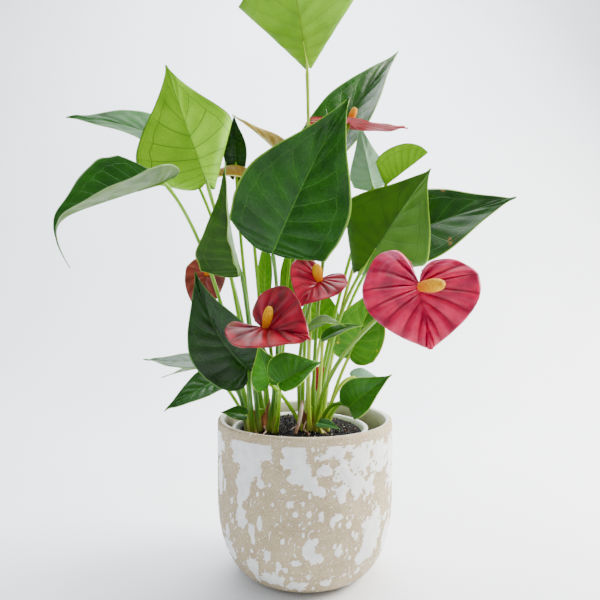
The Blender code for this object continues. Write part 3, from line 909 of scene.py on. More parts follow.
def blade_point(blade: Blade, relief: Relief, across: float, down: float) -> tuple[Vector, float, float]:
    """Give a point of a blade.

    Args:
        blade: The blade's form.
        relief: What lies on it.
        across: From -1 on the left margin to 1 on the right one.
        down: From 0 at the notch between the lobes to 1 at the tip.

    Returns:
        The point, and its width and length on the blade laid flat, all in millimetres.
    """
    length, along, right, up = blade.axes()
    side = 0 if across < 0 else 1
    reach, half = abs(across), blade.width / 2
    broad, narrow = curve(relief.outline, down), curve(TAPERED_OUTLINE, down)
    edge_s, edge_w = broad.lerp(narrow, blade.taper)
    if edge_s < 0:
        edge_s *= blade.lobes[side]
    edge_s += max(0.0, ROUNDING - blade.lobes[side]) * 2 * edge_w**2 * (1 - down) ** 2
    start_s = down**relief.gather
    flat_x = (start_s + (edge_s - start_s) * reach) * length
    flat_y = max(edge_w, relief.outline[-1][1]) * reach * half
    x, y, rise = fold_lobe(blade, side, flat_x, flat_y, length)

    t = x / length
    rise += 4 * blade.arch * t * (1 - t) if t > 0 else 4 * blade.arch * t
    rise += blade.hook * (t - max(t, 0) ** 10)
    rise += blade.cup * (y / half) ** 2
    rise += lie(relief, across, down, flat_y, half)
    fold = radians(blade.folds[side])
    sideways = y * cos(fold)
    rise += y * sin(fold)
    swing = 4 * blade.bow * t * (1 - t) if t > 0 else 0.0
    sign = -1 if side == 0 else 1
    point = Vector(blade.joint) + along * x + right * (sign * sideways + swing) + up * rise
    return point, sign * flat_y, flat_x


def fold_lobe(blade: Blade, side: int, x: float, y: float, length: float) -> tuple[float, float, float]:
    """Curl the lobe behind the joint up about the line from the joint to the hinge on the margin.

    Args:
        blade: The blade's form.
        side: 0 on the left and 1 on the right.
        x: Length of the point on the blade laid flat.
        y: Its width.
        length: The blade's length.

    Returns:
        The length and width of the point once folded, and how far it rises.
    """
    half, turn = blade.width / 2, radians(blade.ears[side])
    hinge_x, hinge_y = Vector((blade.hinges[side] * length, half)).normalized()
    beyond = y * hinge_x - x * hinge_y
    if beyond <= 0 or turn == 0:
        return x, y, 0.0
    radius = (half * hinge_x + blade.lobes[side] * length * hinge_y) / turn
    if turn > pi / 2:
        radius = min(radius, CREASE)
    bent = min(beyond / radius, turn)
    flat = beyond - bent * radius
    within = radius * sin(bent) + flat * cos(bent)
    rise = radius * (1 - cos(bent)) + flat * sin(bent)
    kept = x * hinge_x + y * hinge_y
    return kept * hinge_x - within * hinge_y, kept * hinge_y + within * hinge_x, rise


def lie(relief: Relief, across: float, down: float, width: float, half: float) -> float:
    """Give the height of the swellings, the midrib's groove and the wavy edge.

    Args:
        relief: What lies on the blade.
        across: From -1 on the left margin to 1 on the right one.
        down: From 0 at the notch to 1 at the tip.
        width: From the midrib, in millimetres.
        half: Half of the blade's width.

    Returns:
        The height in millimetres.
    """
    reach = abs(across)
    size = min(1.0, half / 30)
    phase = (down - VEIN_SWEEP * reach**2) * relief.ribs
    inside = min(1.0, reach * 4) * (1 - reach**6)
    swell = relief.quilt * size * inside * (sin(pi * phase) ** 2) ** relief.crisp
    groove = relief.groove * exp(-((width / 1.6) ** 2)) * (1 - down)
    turn = relief.seed + (1 if across > 0 else 3.7)
    wave = sin(down * 13 + turn * 2) + 0.6 * sin(down * 29 + turn * 5)
    tremble = noise.noise(Vector((across * 2, down * 5, relief.seed * 7))) * 1.2
    return swell - groove + size * (relief.wave * wave * reach**5 + tremble * reach)


def blade_sheet(blade: Blade, relief: Relief, columns: int, rows: int) -> Shape:
    """Shape a blade's middle surface.

    Args:
        blade: The blade's form.
        relief: What lies on it.
        columns: Faces across.
        rows: Faces down.

    Returns:
        The shape in metres, with the maps that sheet gives.
    """
    return sheet(columns, rows, lambda across, down: blade_point(blade, relief, across, down))


def stalk_route(root: Point, way: Point, end: Vector, steps: int) -> list[Vector]:
    """Give points along a stalk.

    Args:
        root: Where it leaves the mix.
        way: Where it passes halfway along.
        end: Where it meets the blade.
        steps: How many steps to take.

    Returns:
        The points, from the root up.
    """
    start, middle = Vector(root), Vector(way)
    pull = middle * 2 - (start + end) / 2
    shares = [i / steps for i in range(steps + 1)]
    return [start * (1 - s) ** 2 + pull * 2 * s * (1 - s) + end * s**2 for s in shares]


@dataclass(frozen=True)
class Leaf:
    """A leaf: its blade, the stalk that carries it and the finish of both."""

    name: str
    finish: LeafFinish
    stalk: StalkFinish
    root: Point
    way: Point
    blade: Blade
    thickness: float = 3.0
    relief: Relief = Relief()

    WALL = 0.55
    SMALL = 30.0  # blades narrower than this have fewer faces
    FACES = (36, 88)  # across and down a blade
    SMALL_FACES = (20, 44)
    ROUTE_STEPS = 40
    RIB_STEPS = 14
    RIB_REACH = 0.45
    JOINT_LENGTH = 0.05
    FOOT_SWELL = 0.9  # how much wider the stalk is where it leaves the crown
    FOOT_SHARE = 0.18  # of the stalk's length, over which it narrows

    def build(self, seed: float) -> None:
        """Build the blade and the stalk.

        Args:
            seed: Which wave the blade's edge has.
        """
        relief = replace(self.relief, ribs=self.finish.ribs, seed=seed)
        faces = self.SMALL_FACES if self.blade.width < self.SMALL else self.FACES
        shape = blade_sheet(self.blade, relief, *faces)
        looks = [self.finish.look(Side.UPPER), self.finish.look(Side.UNDER)]
        add_piece(f"{self.name}_blade", shape, looks, [self.name], self.WALL)
        add_piece(f"{self.name}_stalk", self.stalk_tube(relief), [self.stalk.look()])

    def stalk_tube(self, relief: Relief) -> Shape:
        """Shape the stalk, its swollen joint and the midrib that it runs out into under the blade.

        Args:
            relief: What lies on the blade.

        Returns:
            The shape in metres.
        """
        up = self.blade.axes()[3]
        joint = Vector(self.blade.joint)
        stem = self.thickness / 2
        route = stalk_route(self.root, self.way, joint - up * stem * 0.5, self.ROUTE_STEPS)
        for step in range(1, self.RIB_STEPS + 1):
            share = self.RIB_REACH * step / self.RIB_STEPS
            point = blade_point(self.blade, relief, 0.0, max(share, 0.12))[0]
            route.append(point - up * (stem * 0.45 * (1 - share) + 0.1))
        joint_at = self.ROUTE_STEPS / (len(route) - 1)

        def radius(turn: float, share: float) -> float:
            """Give the stalk's radius.

            Args:
                turn: From 0 to 1, once round.
                share: From 0 to 1 along the stalk and midrib.

            Returns:
                The radius.
            """
            if share > joint_at:
                return max(0.18, stem * (0.8 - 0.85 * (share - joint_at) / (1 - joint_at)))
            foot = self.FOOT_SWELL * max(0.0, 1 - share / self.FOOT_SHARE) ** 2
            swollen = 0.28 * exp(-(((share - joint_at) / self.JOINT_LENGTH) ** 2))
            ridge = 0.04 * cos(2 * pi * turn * 5)
            return stem * (1.12 - 0.24 * share / joint_at + foot + swollen + ridge)

        return tube(STALK_SIDES, route, radius)


LEAVES = (
    Leaf("leaf_top", OLIVE_LIT, YELLOW_STALK, (2, 10, 112), (4, 18, 260), Blade(
        (2, 10, 409), (-14, -76, 462), (0, 0.55, 0.8), 112, 6, (18, 18), (0.2, 0.2), (165, 165),
        (0.55, 0.55))),
    Leaf("leaf_left_upright", LIT_GREEN, FRESH_STALK, (-43, 2, 112), (-55, 2, 212), Blade(
        (-76, -18, 310), (-109, -8, 403), (-0.2, 0.9, -0.1), 94, 4, (6, 12), (0.1, 0.05), (170, 170),
        (0.75, 0.3))),
    Leaf("leaf_far_left", GREY_BACKED, FRESH_STALK, (-44, 7, 112), (-76, 3, 240), Blade(
        (-105, -38, 307), (-166, -62, 243), (-0.5, 0.1, 0.8), 76, 0, (-5, 85), (0.12, 0.02),
        (10, 10), hook=42, taper=0.8)),
    Leaf("leaf_left_back", GREY_GREEN, FRESH_STALK, (-38, 19, 112), (-64, 34, 240), Blade(
        (-105, 42, 344), (-182, -24, 358), (0.1, -0.75, 0.65), 52, 9, (10, 10), (0.15, 0.15))),
    Leaf("leaf_front", DEEP_GREEN, DARK_STALK, (-29, -5, 112), (-21, -24, 190), Blade(
        (-24, -45, 254), (31, -60, 363), (0.05, -0.98, 0.15), 84, 4, (6, 10), (0.03, 0.0), (20, 100),
        (0.3, 0.16), bow=-2)),
    Leaf("leaf_back_high", DEEP_GREEN, FRESH_STALK, (-3, 18, 112), (4, 46, 240), Blade(
        (13, 64, 344), (92, 112, 457), (-0.1, -0.8, 0.4), 56, 4, (35, 25), (0.2, 0.2), (20, 20))),
    Leaf("leaf_bronze", BRONZE, FRESH_STALK, (-28, 12, 112), (-16, 24, 220), Blade(
        (-5, 28, 323), (-60, 18, 371), (0.1, -0.45, 0.85), 33, 3, (25, 25), (0.15, 0.15), (20, 20))),
    Leaf("leaf_small_dark", DARK_GREEN, FRESH_STALK, (-33, 16, 112), (-50, 24, 230), Blade(
        (-58, 28, 334), (-59, 22, 372), (0.1, -0.9, 0.1), 22, 2, (20, 35), (0.4, 0.5), (60, 60))),
    Leaf("leaf_tan", TAN, FRESH_STALK, (-29, 7, 112), (-38, 16, 220), Blade(
        (-47, 12, 318), (-84, 14, 313), (0.1, -0.5, 0.8), 24, 5, (25, 25), (0.1, 0.1), (10, 10))),
    Leaf("leaf_folded", OLIVE_DARK, DARK_STALK, (-37, -5, 112), (-42, -10, 176), Blade(
        (-49, -24, 238), (-61, -20, 325), (-0.7, -0.7, 0), 62, 4, (45, 45), (0.02, 0.02),
        (20, 20), taper=1.0)),
    Leaf("leaf_low_left", DARK_GREEN, DARK_STALK, (-41, -7, 112), (-42, -20, 138), Blade(
        (-44, -16, 164), (-83, -30, 241), (-0.1, -0.97, 0.2), 58, 4, (14, 30), (0.12, 0.06),
        (20, 20), bow=-7)),
    Leaf("leaf_olive_left", DEEP_GREEN, DARK_STALK, (-42, 12, 112), (-60, 16, 148), Blade(
        (-75, 15, 168), (-136, 20, 168), (0, -0.25, 0.97), 36, -2, (5, 5), (0.1, 0.1), (10, 10))),
    Leaf("leaf_thin_left", OLIVE_DARK, FRESH_STALK, (-46, 15, 112), (-66, 26, 142), Blade(
        (-85, 30, 160), (-124, 34, 150), (0, -0.05, 1), 22, 1, (8, 8), (0.1, 0.1), (10, 10))),
    Leaf("leaf_grey_left", DEEP_GREEN, DARK_STALK, (-46, -3, 112), (-54, -4, 146), Blade(
        (-64, -3, 157), (-110, -20, 132), (-0.1, -0.55, 0.83), 32, 2, (10, 10), (0.12, 0.12), (10, 10))),
    Leaf("leaf_centre_left", MID_GREEN, FRESH_STALK, (-1, -2.5, 112), (-14, -14, 138), Blade(
        (-27, -37, 157), (-35, -46, 187), (0.2, -0.95, 0.1), 28, 2, (20, 5), (0.1, 0.1), (20, 20))),
    Leaf("leaf_centre_right", MID_GREEN, FRESH_STALK, (-24, -7, 112), (-20, -36, 136), Blade(
        (-19, -52, 160), (12, -51, 175), (0, -0.9, 0.3), 38, 3, (5, 55), (0.14, 0.05), (20, 20))),
    Leaf("leaf_small_triangle", OLIVE_GREEN, YELLOW_STALK, (4, -3.5, 112), (3, -10, 154), Blade(
        (4, -8, 194), (32, -13, 198), (0, -0.2, 0.97), 28, 4, (20, 20), (0.15, 0.15), (10, 10))),
    Leaf("leaf_narrow_right", MID_GREEN, YELLOW_STALK, (9, -1, 112), (12, -4, 150), Blade(
        (14, -5, 187), (47, -15, 199), (0, -0.5, 0.85), 16, 3, (10, 10), (0.05, 0.05), (10, 10))),
    Leaf("leaf_bright_behind", LIT_GREEN, YELLOW_STALK, (3, 15, 112), (8, 32, 150), Blade(
        (15, 42, 187), (11, 58, 236), (-0.1, -0.95, 0.2), 34, 2, (10, 10), (0.1, 0.1), (10, 10))),
    Leaf("leaf_pale_upright", LIT_GREEN, YELLOW_STALK, (-31, 20, 112), (-36, 28, 180), Blade(
        (-34, 24, 222), (-32, 26, 280), (0, -0.9, 0), 13, 2, (20, 20), (0.02, 0.02), (0, 0))),
    Leaf("leaf_green_upright", LIT_GREEN, FRESH_STALK, (-24, 10, 112), (-18, 32, 180), Blade(
        (-14, 30, 218), (-12, 34, 275), (0, -0.9, 0), 16, 2, (20, 20), (0.02, 0.02), (0, 0))),
    Leaf("leaf_round_right", YELLOWING, YELLOW_STALK, (16, 4, 112), (26, 8, 146), Blade(
        (37, 10, 172), (62, 20, 232), (0.1, -0.9, 0.3), 44, 3, (10, 10), (0.08, 0.08), (20, 20))),
    Leaf("leaf_low_right", MID_GREEN, DARK_STALK, (11, -6, 112), (20, -12, 134), Blade(
        (34, -30, 138), (63, -52, 166), (-0.1, -0.9, 0.4), 31, 3, (10, 30), (0.10, 0.02), (20, 40))),
    Leaf("leaf_pale_right", PALE_GREEN, YELLOW_STALK, (14, 0, 112), (27, 0, 146), Blade(
        (41, 4, 155), (61, 8, 154), (0, -0.8, 0.6), 16, 1, (10, 10), (0.2, 0.2), (10, 10))),
    Leaf("leaf_on_mix", GREY_GREEN, FRESH_STALK, (13, -10, 112), (11, -16, 119), Blade(
        (10, -20, 123), (27, -32, 121), (-0.1, -0.5, 0.85), 10, 1, (10, 10), (0.05, 0.05), (0, 0))),
    Leaf("leaf_rim_left", DEEP_GREEN, FRESH_STALK, (-44, -10, 112), (-45, -12, 120), Blade(
        (-47, -13, 128), (-67, -13, 130), (0, -0.7, 0.7), 13, 1, (10, 10), (0.1, 0.1), (0, 0)), 2.2),
    Leaf("leaf_olive_right", OLIVE_GREEN, FRESH_STALK, (10, 4, 112), (24, 0, 190), Blade(
        (47, 0, 244), (99, -10, 322), (-0.2, 0.9, 0.2), 94, 4, (0, 38), (0.2, 0.2), (165, 165),
        (0.40, 0.55))),
    Leaf("leaf_far_right", SPOTTED_GREEN, FRESH_STALK, (14, 13, 112), (32, 30, 196), Blade(
        (72, 55, 268), (180, 30, 305), (-0.2, -0.9, 0.3), 74, 5, (0, 18), (0.15, 0.15), (20, 20))),
    Leaf("leaf_pale_back", PALE_GREEN, FRESH_STALK, (7, 20, 112), (30, 34, 220), Blade(
        (59, 36, 313), (47, 46, 375), (0, 0.95, 0.1), 35, 3, (15, 15), (0.02, 0.02), (100, 100),
        (0.2, 0.2), taper=0.6)),
    Leaf("leaf_curled", LIT_GREEN, YELLOW_STALK, (14, 7.5, 112), (34, 24, 220), Blade(
        (67, 15, 313), (99, 2, 337), (0.1, 0.9, 0.2), 44, 2, (85, 5), (0.02, 0.0), (20, 20)),
        relief=Relief(outline=BLUNT_OUTLINE)),
)


# --- Flowers ------------------------------------------------------------------------------------


@dataclass(frozen=True)
class Flower:
    """A flower: the spathe, the spadix that stands on it and the stalk under both."""

    name: str
    finish: SpatheFinish
    root: Point
    way: Point
    blade: Blade
    spadix: Point
    spadix_thickness: float = 7.5
    thickness: float = 3.2
    relief: Relief = Relief(outline=SPATHE_OUTLINE, quilt=2.2, groove=0.9, wave=1.0, gather=3.4, crisp=0.5)

    WALL = 0.8
    BEAD = 0.72  # radius of one of the tiny true flowers that cover the spadix
    TURN = pi * (3 - sqrt(5))  # they stand in spirals, this angle apart
    FULL_WIDTH = 76.0  # of the spathe on which the ribs stand highest
    COLUMNS = 44
    ROWS = 110
    ROUTE_STEPS = 44
    SPIKE_STEPS = 24
    SPIKE_SIDES = 20

    def build(self, seed: float) -> None:
        """Build the spathe, the spadix and the stalk.

        Args:
            seed: Which wave the spathe's edge has.
        """
        quilt = self.relief.quilt * min(1.0, self.blade.width / self.FULL_WIDTH) ** 2
        relief = replace(self.relief, ribs=self.finish.ribs, quilt=quilt, seed=seed)
        shape = blade_sheet(self.blade, relief, self.COLUMNS, self.ROWS)
        looks = [self.finish.look(Side.UPPER), self.finish.look(Side.UNDER)]
        add_piece(f"{self.name}_bract", shape, looks, [f"{self.name}_spathe"], self.WALL)
        add_piece(f"{self.name}_spike", self.spike(), [spadix_look()], [f"{self.name}_spadix"])
        _, along, _, up = self.blade.axes()
        end = Vector(self.blade.joint) + along * 1.5 - up * self.WALL * 0.4
        route = stalk_route(self.root, self.way, end, self.ROUTE_STEPS)
        shape = tube(STALK_SIDES, route, self.stalk_radius)
        add_piece(f"{self.name}_stem", shape, [FLOWER_STALK.look()], [f"{self.name}_stalk"])

    def stalk_radius(self, turn: float, share: float) -> float:
        """Give the stalk's radius: a little wider at its foot and just under the spathe.

        Args:
            turn: From 0 to 1, once round.
            share: From 0 to 1 up the stalk.

        Returns:
            The radius.
        """
        flare = 0.35 * max(0.0, 1 - share / 0.1) ** 2 + 0.3 * max(0.0, (share - 0.95) / 0.05) ** 2
        return self.thickness / 2 * (1.02 - 0.14 * share + flare + 0.03 * cos(2 * pi * turn * 5))

    def spike(self) -> Shape:
        """Shape the spadix: a tapering core closely covered with beads in spirals.

        Returns:
            The shape in metres, with the attribute "along" from foot to tip.
        """
        _, along, _, up = self.blade.axes()
        foot = Vector(self.blade.joint) + along * 2 + up * self.WALL * 0.3
        tip = Vector(self.spadix)
        axis = tip - foot
        reach = axis.length
        heading = axis.normalized()
        side = heading.orthogonal().normalized()
        other = heading.cross(side)
        thick = self.spadix_thickness / 2

        def profile(share: float) -> float:
            """Give the core's radius.

            Args:
                share: From 0 to 1 on the way to the tip.

            Returns:
                The radius.
            """
            belly = 0.62 + 0.38 * sin(pi * min(share / 0.7, 1.0) / 2)
            return thick * belly * sqrt(max(0.0, 1 - max(0.0, (share - 0.45) / 0.56) ** 2.2)) * 0.93

        route = [foot + axis * (i / self.SPIKE_STEPS) for i in range(self.SPIKE_STEPS + 1)]
        shape = tube(self.SPIKE_SIDES, route, lambda turn, share: max(profile(share), 0.05))
        count = int(2 * pi * thick * 0.85 * reach / (1.55 * self.BEAD) ** 2)
        for index in range(count):
            share = 0.03 + 0.96 * (index + 0.5) / count
            turn = index * self.TURN
            out = side * cos(turn) + other * sin(turn)
            centre = foot + axis * share + out * profile(share)
            bead = self.BEAD * (0.75 if share > 0.93 else 1.0)
            spot = Matrix.Translation(centre * MM)
            bmesh.ops.create_icosphere(shape, subdivisions=1, radius=bead * MM, matrix=spot)
        along_layer = shape.verts.layers.float.new("along")
        for vert in shape.verts:
            vert[along_layer] = (vert.co / MM - foot).dot(heading) / reach
        return shape


def spadix_look() -> Material:
    """Spadix: hundreds of fleshy beads with a dry, velvety skin, yellow at the tip and warmer low down.

    Returns:
        The material.
    """
    found = bpy.data.materials.get("spadix_beads")
    if found:
        return found
    dye = Dye("spadix_beads")
    along = dye.attribute("along")
    place = dye.place_mm()
    warm = dye.mix(dye.step(along, 0.05, 0.8), "#e07400", "#eaae00")
    colour = dye.mix(dye.step(dye.grain(place, 1.2), 0.4, 0.7, 0.0, 0.5), warm, "#b06c00")
    colour = dye.mix(dye.step(dye.cells(place, 0.9), 0.35, 0.1, 0.0, 0.4), colour, "#f4c814")
    dye.bump(dye.grain(place, 0.3), 0.1, 0.6)
    return dye.finish(colour, 0.55, specular_ior_level=0.2)


FLOWERS = (
    Flower("flower_large", PINK_RED, (8, -7, 112), (26, -44, 176), Blade(
        (74, -95, 232), (80, -103, 190), (-0.1, -0.95, 0.2), 76, 3, (6, 6), (0.32, 0.58), (20, 20)),
        (86, -113, 232), 8.5, 3.4),
    Flower("flower_edge_on", EDGE_RED, (7, 8, 112), (14, 14, 240), Blade(
        (35, 20, 365), (86, 22, 361), (0, -0.05, 1), 42, 0, (-3, -3), (0.65, 0.6), (0, 0)),
        (42, 18, 377), 5.5),
    Flower("flower_crimson", CRIMSON, (-3, 7, 112), (-3, 10, 180), Blade(
        (13, 4, 235), (-4, -12, 214), (-0.1, -0.85, 0.5), 52, 2, (20, 25), (0.35, 0.3), (20, 20)),
        (9, -5, 247), 8),
    Flower("flower_deep_red", DEEP_RED, (-25, 1, 112), (-26, -8, 168), Blade(
        (-30, -60, 201), (3, -82, 194), (-0.15, -0.8, 0.57), 64, 2, (22, 30), (0.35, 0.5), (10, 60)),
        (-25, -70, 216), 6.5),
    Flower("flower_faded", FADED_RED, (-43, 20, 112), (-70, 40, 180), Blade(
        (-84, 35, 241), (-88, 25, 204), (0, -0.9, 0.3), 36, 2, (15, 15), (0.3, 0.3), (20, 20)),
        (-82, 27, 250), 6),
    Flower("flower_small", PINK_RED, (7, 13.5, 112), (9, 20.5, 138), Blade(
        (13, 19, 158), (11, 17, 140), (0, -0.9, 0.3), 12, 1, (10, 10), (0.2, 0.2), (20, 20)),
        (13, 13, 164), 3, 2.2),
)


# --- Crowns and roots ---------------------------------------------------------------------------


@dataclass(frozen=True)
class Crown:
    """A short upright stem, with the dry brown bracts that are left where old leaves grew."""

    name: str
    node: str
    foot: tuple[float, float]
    radius: float
    height: float
    bracts: tuple[tuple[float, float, float], ...]  # each bract's bearing in degrees, height and width

    SUNK = 3.0  # how far the stem goes down into the mix
    STEPS = 30
    SIDES = 20

    def build(self, top: float) -> None:
        """Build the stem and its bracts.

        Args:
            top: How high the mix stands.
        """
        x, y = self.foot
        rise = (self.height + self.SUNK) / self.STEPS
        route = [Vector((x, y, top - self.SUNK + rise * i)) for i in range(self.STEPS + 1)]
        shape = tube(self.SIDES, route, self.stem_radius)
        add_piece(self.name, shape, [FRESH_STALK.look()], [self.node])
        sheets = bmesh.new()
        for bearing, height, width in self.bracts:
            self.add_bract(sheets, radians(bearing), height, width, top)
        add_piece(f"{self.name}_bracts", sheets, [DRY_BRACT.look()], wall=0.35)

    def stem_radius(self, turn: float, share: float) -> float:
        """Give the stem's radius, with the rings that old leaves left.

        Args:
            turn: From 0 to 1, once round.
            share: From 0 to 1 up the stem.

        Returns:
            The radius.
        """
        rings = 0.05 * sin(share * 40)
        return self.radius * (1.1 - 0.5 * share**3 + rings + 0.06 * cos(2 * pi * turn * 3 + share * 5))

    def add_bract(self, sheets: Shape, bearing: float, height: float, width: float, top: float) -> None:
        """Add one pointed bract that clasps the foot of the stem.

        Args:
            sheets: The shape to add it to.
            bearing: Which side of the stem it is on, in radians.
            height: How high it stands above the mix.
            width: How wide it is at its foot.
            top: How high the mix stands.
        """
        clasp = self.radius + 2.2
        x, y = self.foot

        def place(across: float, down: float) -> tuple[Vector, float, float]:
            """Give the bract's point.

            Args:
                across: From -1 to 1 round the stem.
                down: From 0 at the foot to 1 at the point.

            Returns:
                The point, and its width and length on the bract laid flat.
            """
            narrow = (1 - down**2.2) ** 0.8
            turn = bearing + across * width / clasp / 2 * narrow
            out = clasp + 1.8 * down**2 + 0.5 * sin(down * 9 + bearing) + 0.4 * across**2
            point = Vector((x + out * cos(turn), y + out * sin(turn), top - 2.5 + (height + 2.5) * down))
            return point, across * width / 2, height * down

        patch = sheet(10, 14, place)
        mesh = bpy.data.meshes.new("bract")
        patch.to_mesh(mesh)
        patch.free()
        sheets.from_mesh(mesh)
        bpy.data.meshes.remove(mesh)


@dataclass(frozen=True)
class Root:
    """An aerial root or a cut stalk: a wandering tube through the points of its route."""

    name: str
    route: tuple[Point, ...]
    radius: float
    left: float  # share of the radius left at the end
    node: str = ""
    knots: float = 0.12

    STEPS = 40
    SIDES = 12

    def build(self, look: Material, slot: str) -> None:
        """Build the tube.

        Args:
            look: Its material.
            slot: The name of a material slot; not used.
        """
        points = [curve(self.route, i / self.STEPS) for i in range(self.STEPS + 1)]
        shape = tube(self.SIDES, points, self.girth)
        add_piece(self.name, shape, [look], [self.node] if self.node else [])

    def girth(self, turn: float, share: float) -> float:
        """Give the radius, with knots and a rounded end.

        Args:
            turn: From 0 to 1, once round.
            share: From 0 to 1 along the root.

        Returns:
            The radius.
        """
        knot = self.knots * noise.noise(Vector((cos(2 * pi * turn), sin(2 * pi * turn), share * 9)))
        end = sqrt(max(0.02, 1 - max(0.0, (share - 0.94) / 0.06) ** 2)) if self.left < 0.9 else 1.0
        return self.radius * (1 - (1 - self.left) * share + knot) * end


CROWNS = (
    Crown("left_crown", "crown_left", (-36, 4), 3.2, 18,
          ((-60, 17, 9), (-15, 27, 11), (-120, 12, 8), (150, 17, 8), (30, 14, 8))),
    Crown("right_crown", "crown_right", (4, 3), 3.2, 20,
          ((-110, 17, 9), (-30, 20, 9), (60, 15, 7), (200, 24, 10), (-150, 14, 8))),
)
AERIAL_ROOT = Root(
    "tan_aerial_root", ((-2, -8, 138), (-3, -12, 130), (-5, -14, 121), (-9, -18, 110)), 1.6, 0.75,
    "aerial_root")
PETIOLE_STUB = Root(
    "cut_petiole", ((18, -4, 111), (19, -5, 121), (25, -5, 133), (36, -4, 141)), 2.0, 0.95,
    "petiole_stub", 0.04)
CUT = Root("cut_petiole_end", ((35.6, -4, 140.8), (36.2, -4, 141.2), (36.8, -4, 141.6)), 1.8, 0.8)
FINE_ROOTS = (
    Root("fine_root_1", ((-33, -2, 116), (-31, -8, 114), (-33, -14, 112), (-30, -20, 108)), 0.8, 0.5),
    Root("fine_root_2", ((-38, -2, 118), (-40, -9, 115), (-38, -15, 112), (-41, -19, 107)), 0.9, 0.5),
    Root("fine_root_3", ((8, -2, 119), (13, -8, 115), (18, -13, 112), (22, -20, 108)), 0.7, 0.5),
    Root("fine_root_4", ((-3, 2, 117), (-9, -3, 115), (-14, -4, 112), (-19, -8, 108)), 0.8, 0.5),
    Root("fine_root_5", ((2, -4, 122), (-1, -9, 116), (3, -15, 113), (1, -21, 108)), 0.7, 0.5),
)


# --- Potting mix --------------------------------------------------------------------------------


@dataclass(frozen=True)
class PottingMix:
    """A damp mound of peat with crumbs, bark chips, perlite and bits of moss lying on it."""

    centre_x: float
    radius: float
    top: float
    edge: float
    base: float
    base_radius: float

    HEAP = 3.0  # how much higher it lies at the back
    RINGS = 60
    SEGMENTS = 128
    SEED = 5
    CRUMBS = 1500
    CHIPS = 130
    GRAINS = 70
    BITS = 90

    def height(self, x: float, y: float) -> float:
        """Give the mound's height at a place.

        Args:
            x: To the right.
            y: To the back.

        Returns:
            The height in millimetres.
        """
        out = min(1.0, hypot(x - self.centre_x, y) / self.radius)
        hollows = noise.noise(Vector((x / 9, y / 9, 0.3))) * 1.5
        rough = hollows + noise.noise(Vector((x / 3, y / 3, 4.1))) * 0.9
        heaped = self.HEAP * max(0.0, y / self.radius)
        return self.top + heaped + (self.edge - self.top) * out**2 + rough * min(1.0, (1 - out) * 8)

    def build(self) -> None:
        """Build the mound and what lies on it."""
        rim = [(self.radius * i / self.RINGS, self.top) for i in range(self.RINGS + 1)]
        profile = [(0.0, self.base), (self.base_radius, self.base)] + rim[::-1]
        shape = turned(profile, self.SEGMENTS, self.centre_x)
        for vert in shape.verts:
            if vert.co.z > (self.base + 1) * MM:
                vert.co.z = self.height(vert.co.x / MM, vert.co.y / MM) * MM
        add_piece("peat_mound", shape, [PEAT.look()], ["potting_mix"])
        random = Random(self.SEED)
        self.scatter("peat_crumbs", PEAT.look(), self.CRUMBS, (0.5, 1.9), (1, 1, 1), random)
        self.scatter("bark_chips", BARK.look(), self.CHIPS, (1.6, 4.4), (1.0, 0.55, 0.3), random)
        self.scatter("perlite_grains", PERLITE.look(), self.GRAINS, (0.6, 1.6), (1, 0.9, 0.8), random)
        self.scatter("moss_bits", MOSS_BITS.look(), self.BITS, (0.8, 2.4), (1.0, 0.3, 0.2), random)

    def scatter(
        self,
        name: str,
        look: Material,
        count: int,
        sizes: tuple[float, float],
        form: Point,
        random: Random,
    ) -> None:
        """Lay many small lumps on the mound, each turned and sized by chance.

        Args:
            name: The piece's name.
            look: Its material.
            count: How many lumps.
            sizes: The smallest and the largest length in millimetres.
            form: A lump's length, width and height as shares of its size.
            random: Where the chance comes from.
        """
        shape = bmesh.new()
        for _ in range(count):
            out = (self.radius - 2.5) * sqrt(random.random())
            turn = random.uniform(0, 2 * pi)
            x, y = self.centre_x + out * cos(turn), out * sin(turn)
            size = random.uniform(*sizes) * random.uniform(0.6, 1.0)
            spin = Matrix.Rotation(random.uniform(0, 2 * pi), 4, "Z")
            tilt = spin @ Matrix.Rotation(random.uniform(-0.7, 0.7), 4, "Y")
            scale = Matrix.Diagonal((*(size / 2 * f * MM for f in form), 1.0))
            spot = Matrix.Translation(Vector((x, y, self.height(x, y) + size * form[2] * 0.3)) * MM)
            made = bmesh.ops.create_icosphere(shape, subdivisions=1, radius=1.0, matrix=spot @ tilt @ scale)
            for vert in made["verts"]:
                vert.co += noise.noise_vector(vert.co / MM * 1.3) * size * 0.16 * MM
        add_piece(name, shape, [look])


# --- Pots ---------------------------------------------------------------------------------------


@dataclass(frozen=True)
class Splash:
    """One splash of glaze on the cover pot, as a slanted oval with a ragged edge."""

    bearing: float  # degrees round from the front, positive to the right
    height: float  # of its middle, mm
    half_width: float
    half_height: float
    lean: float = 0.0  # degrees
    ragged: float = 1.0


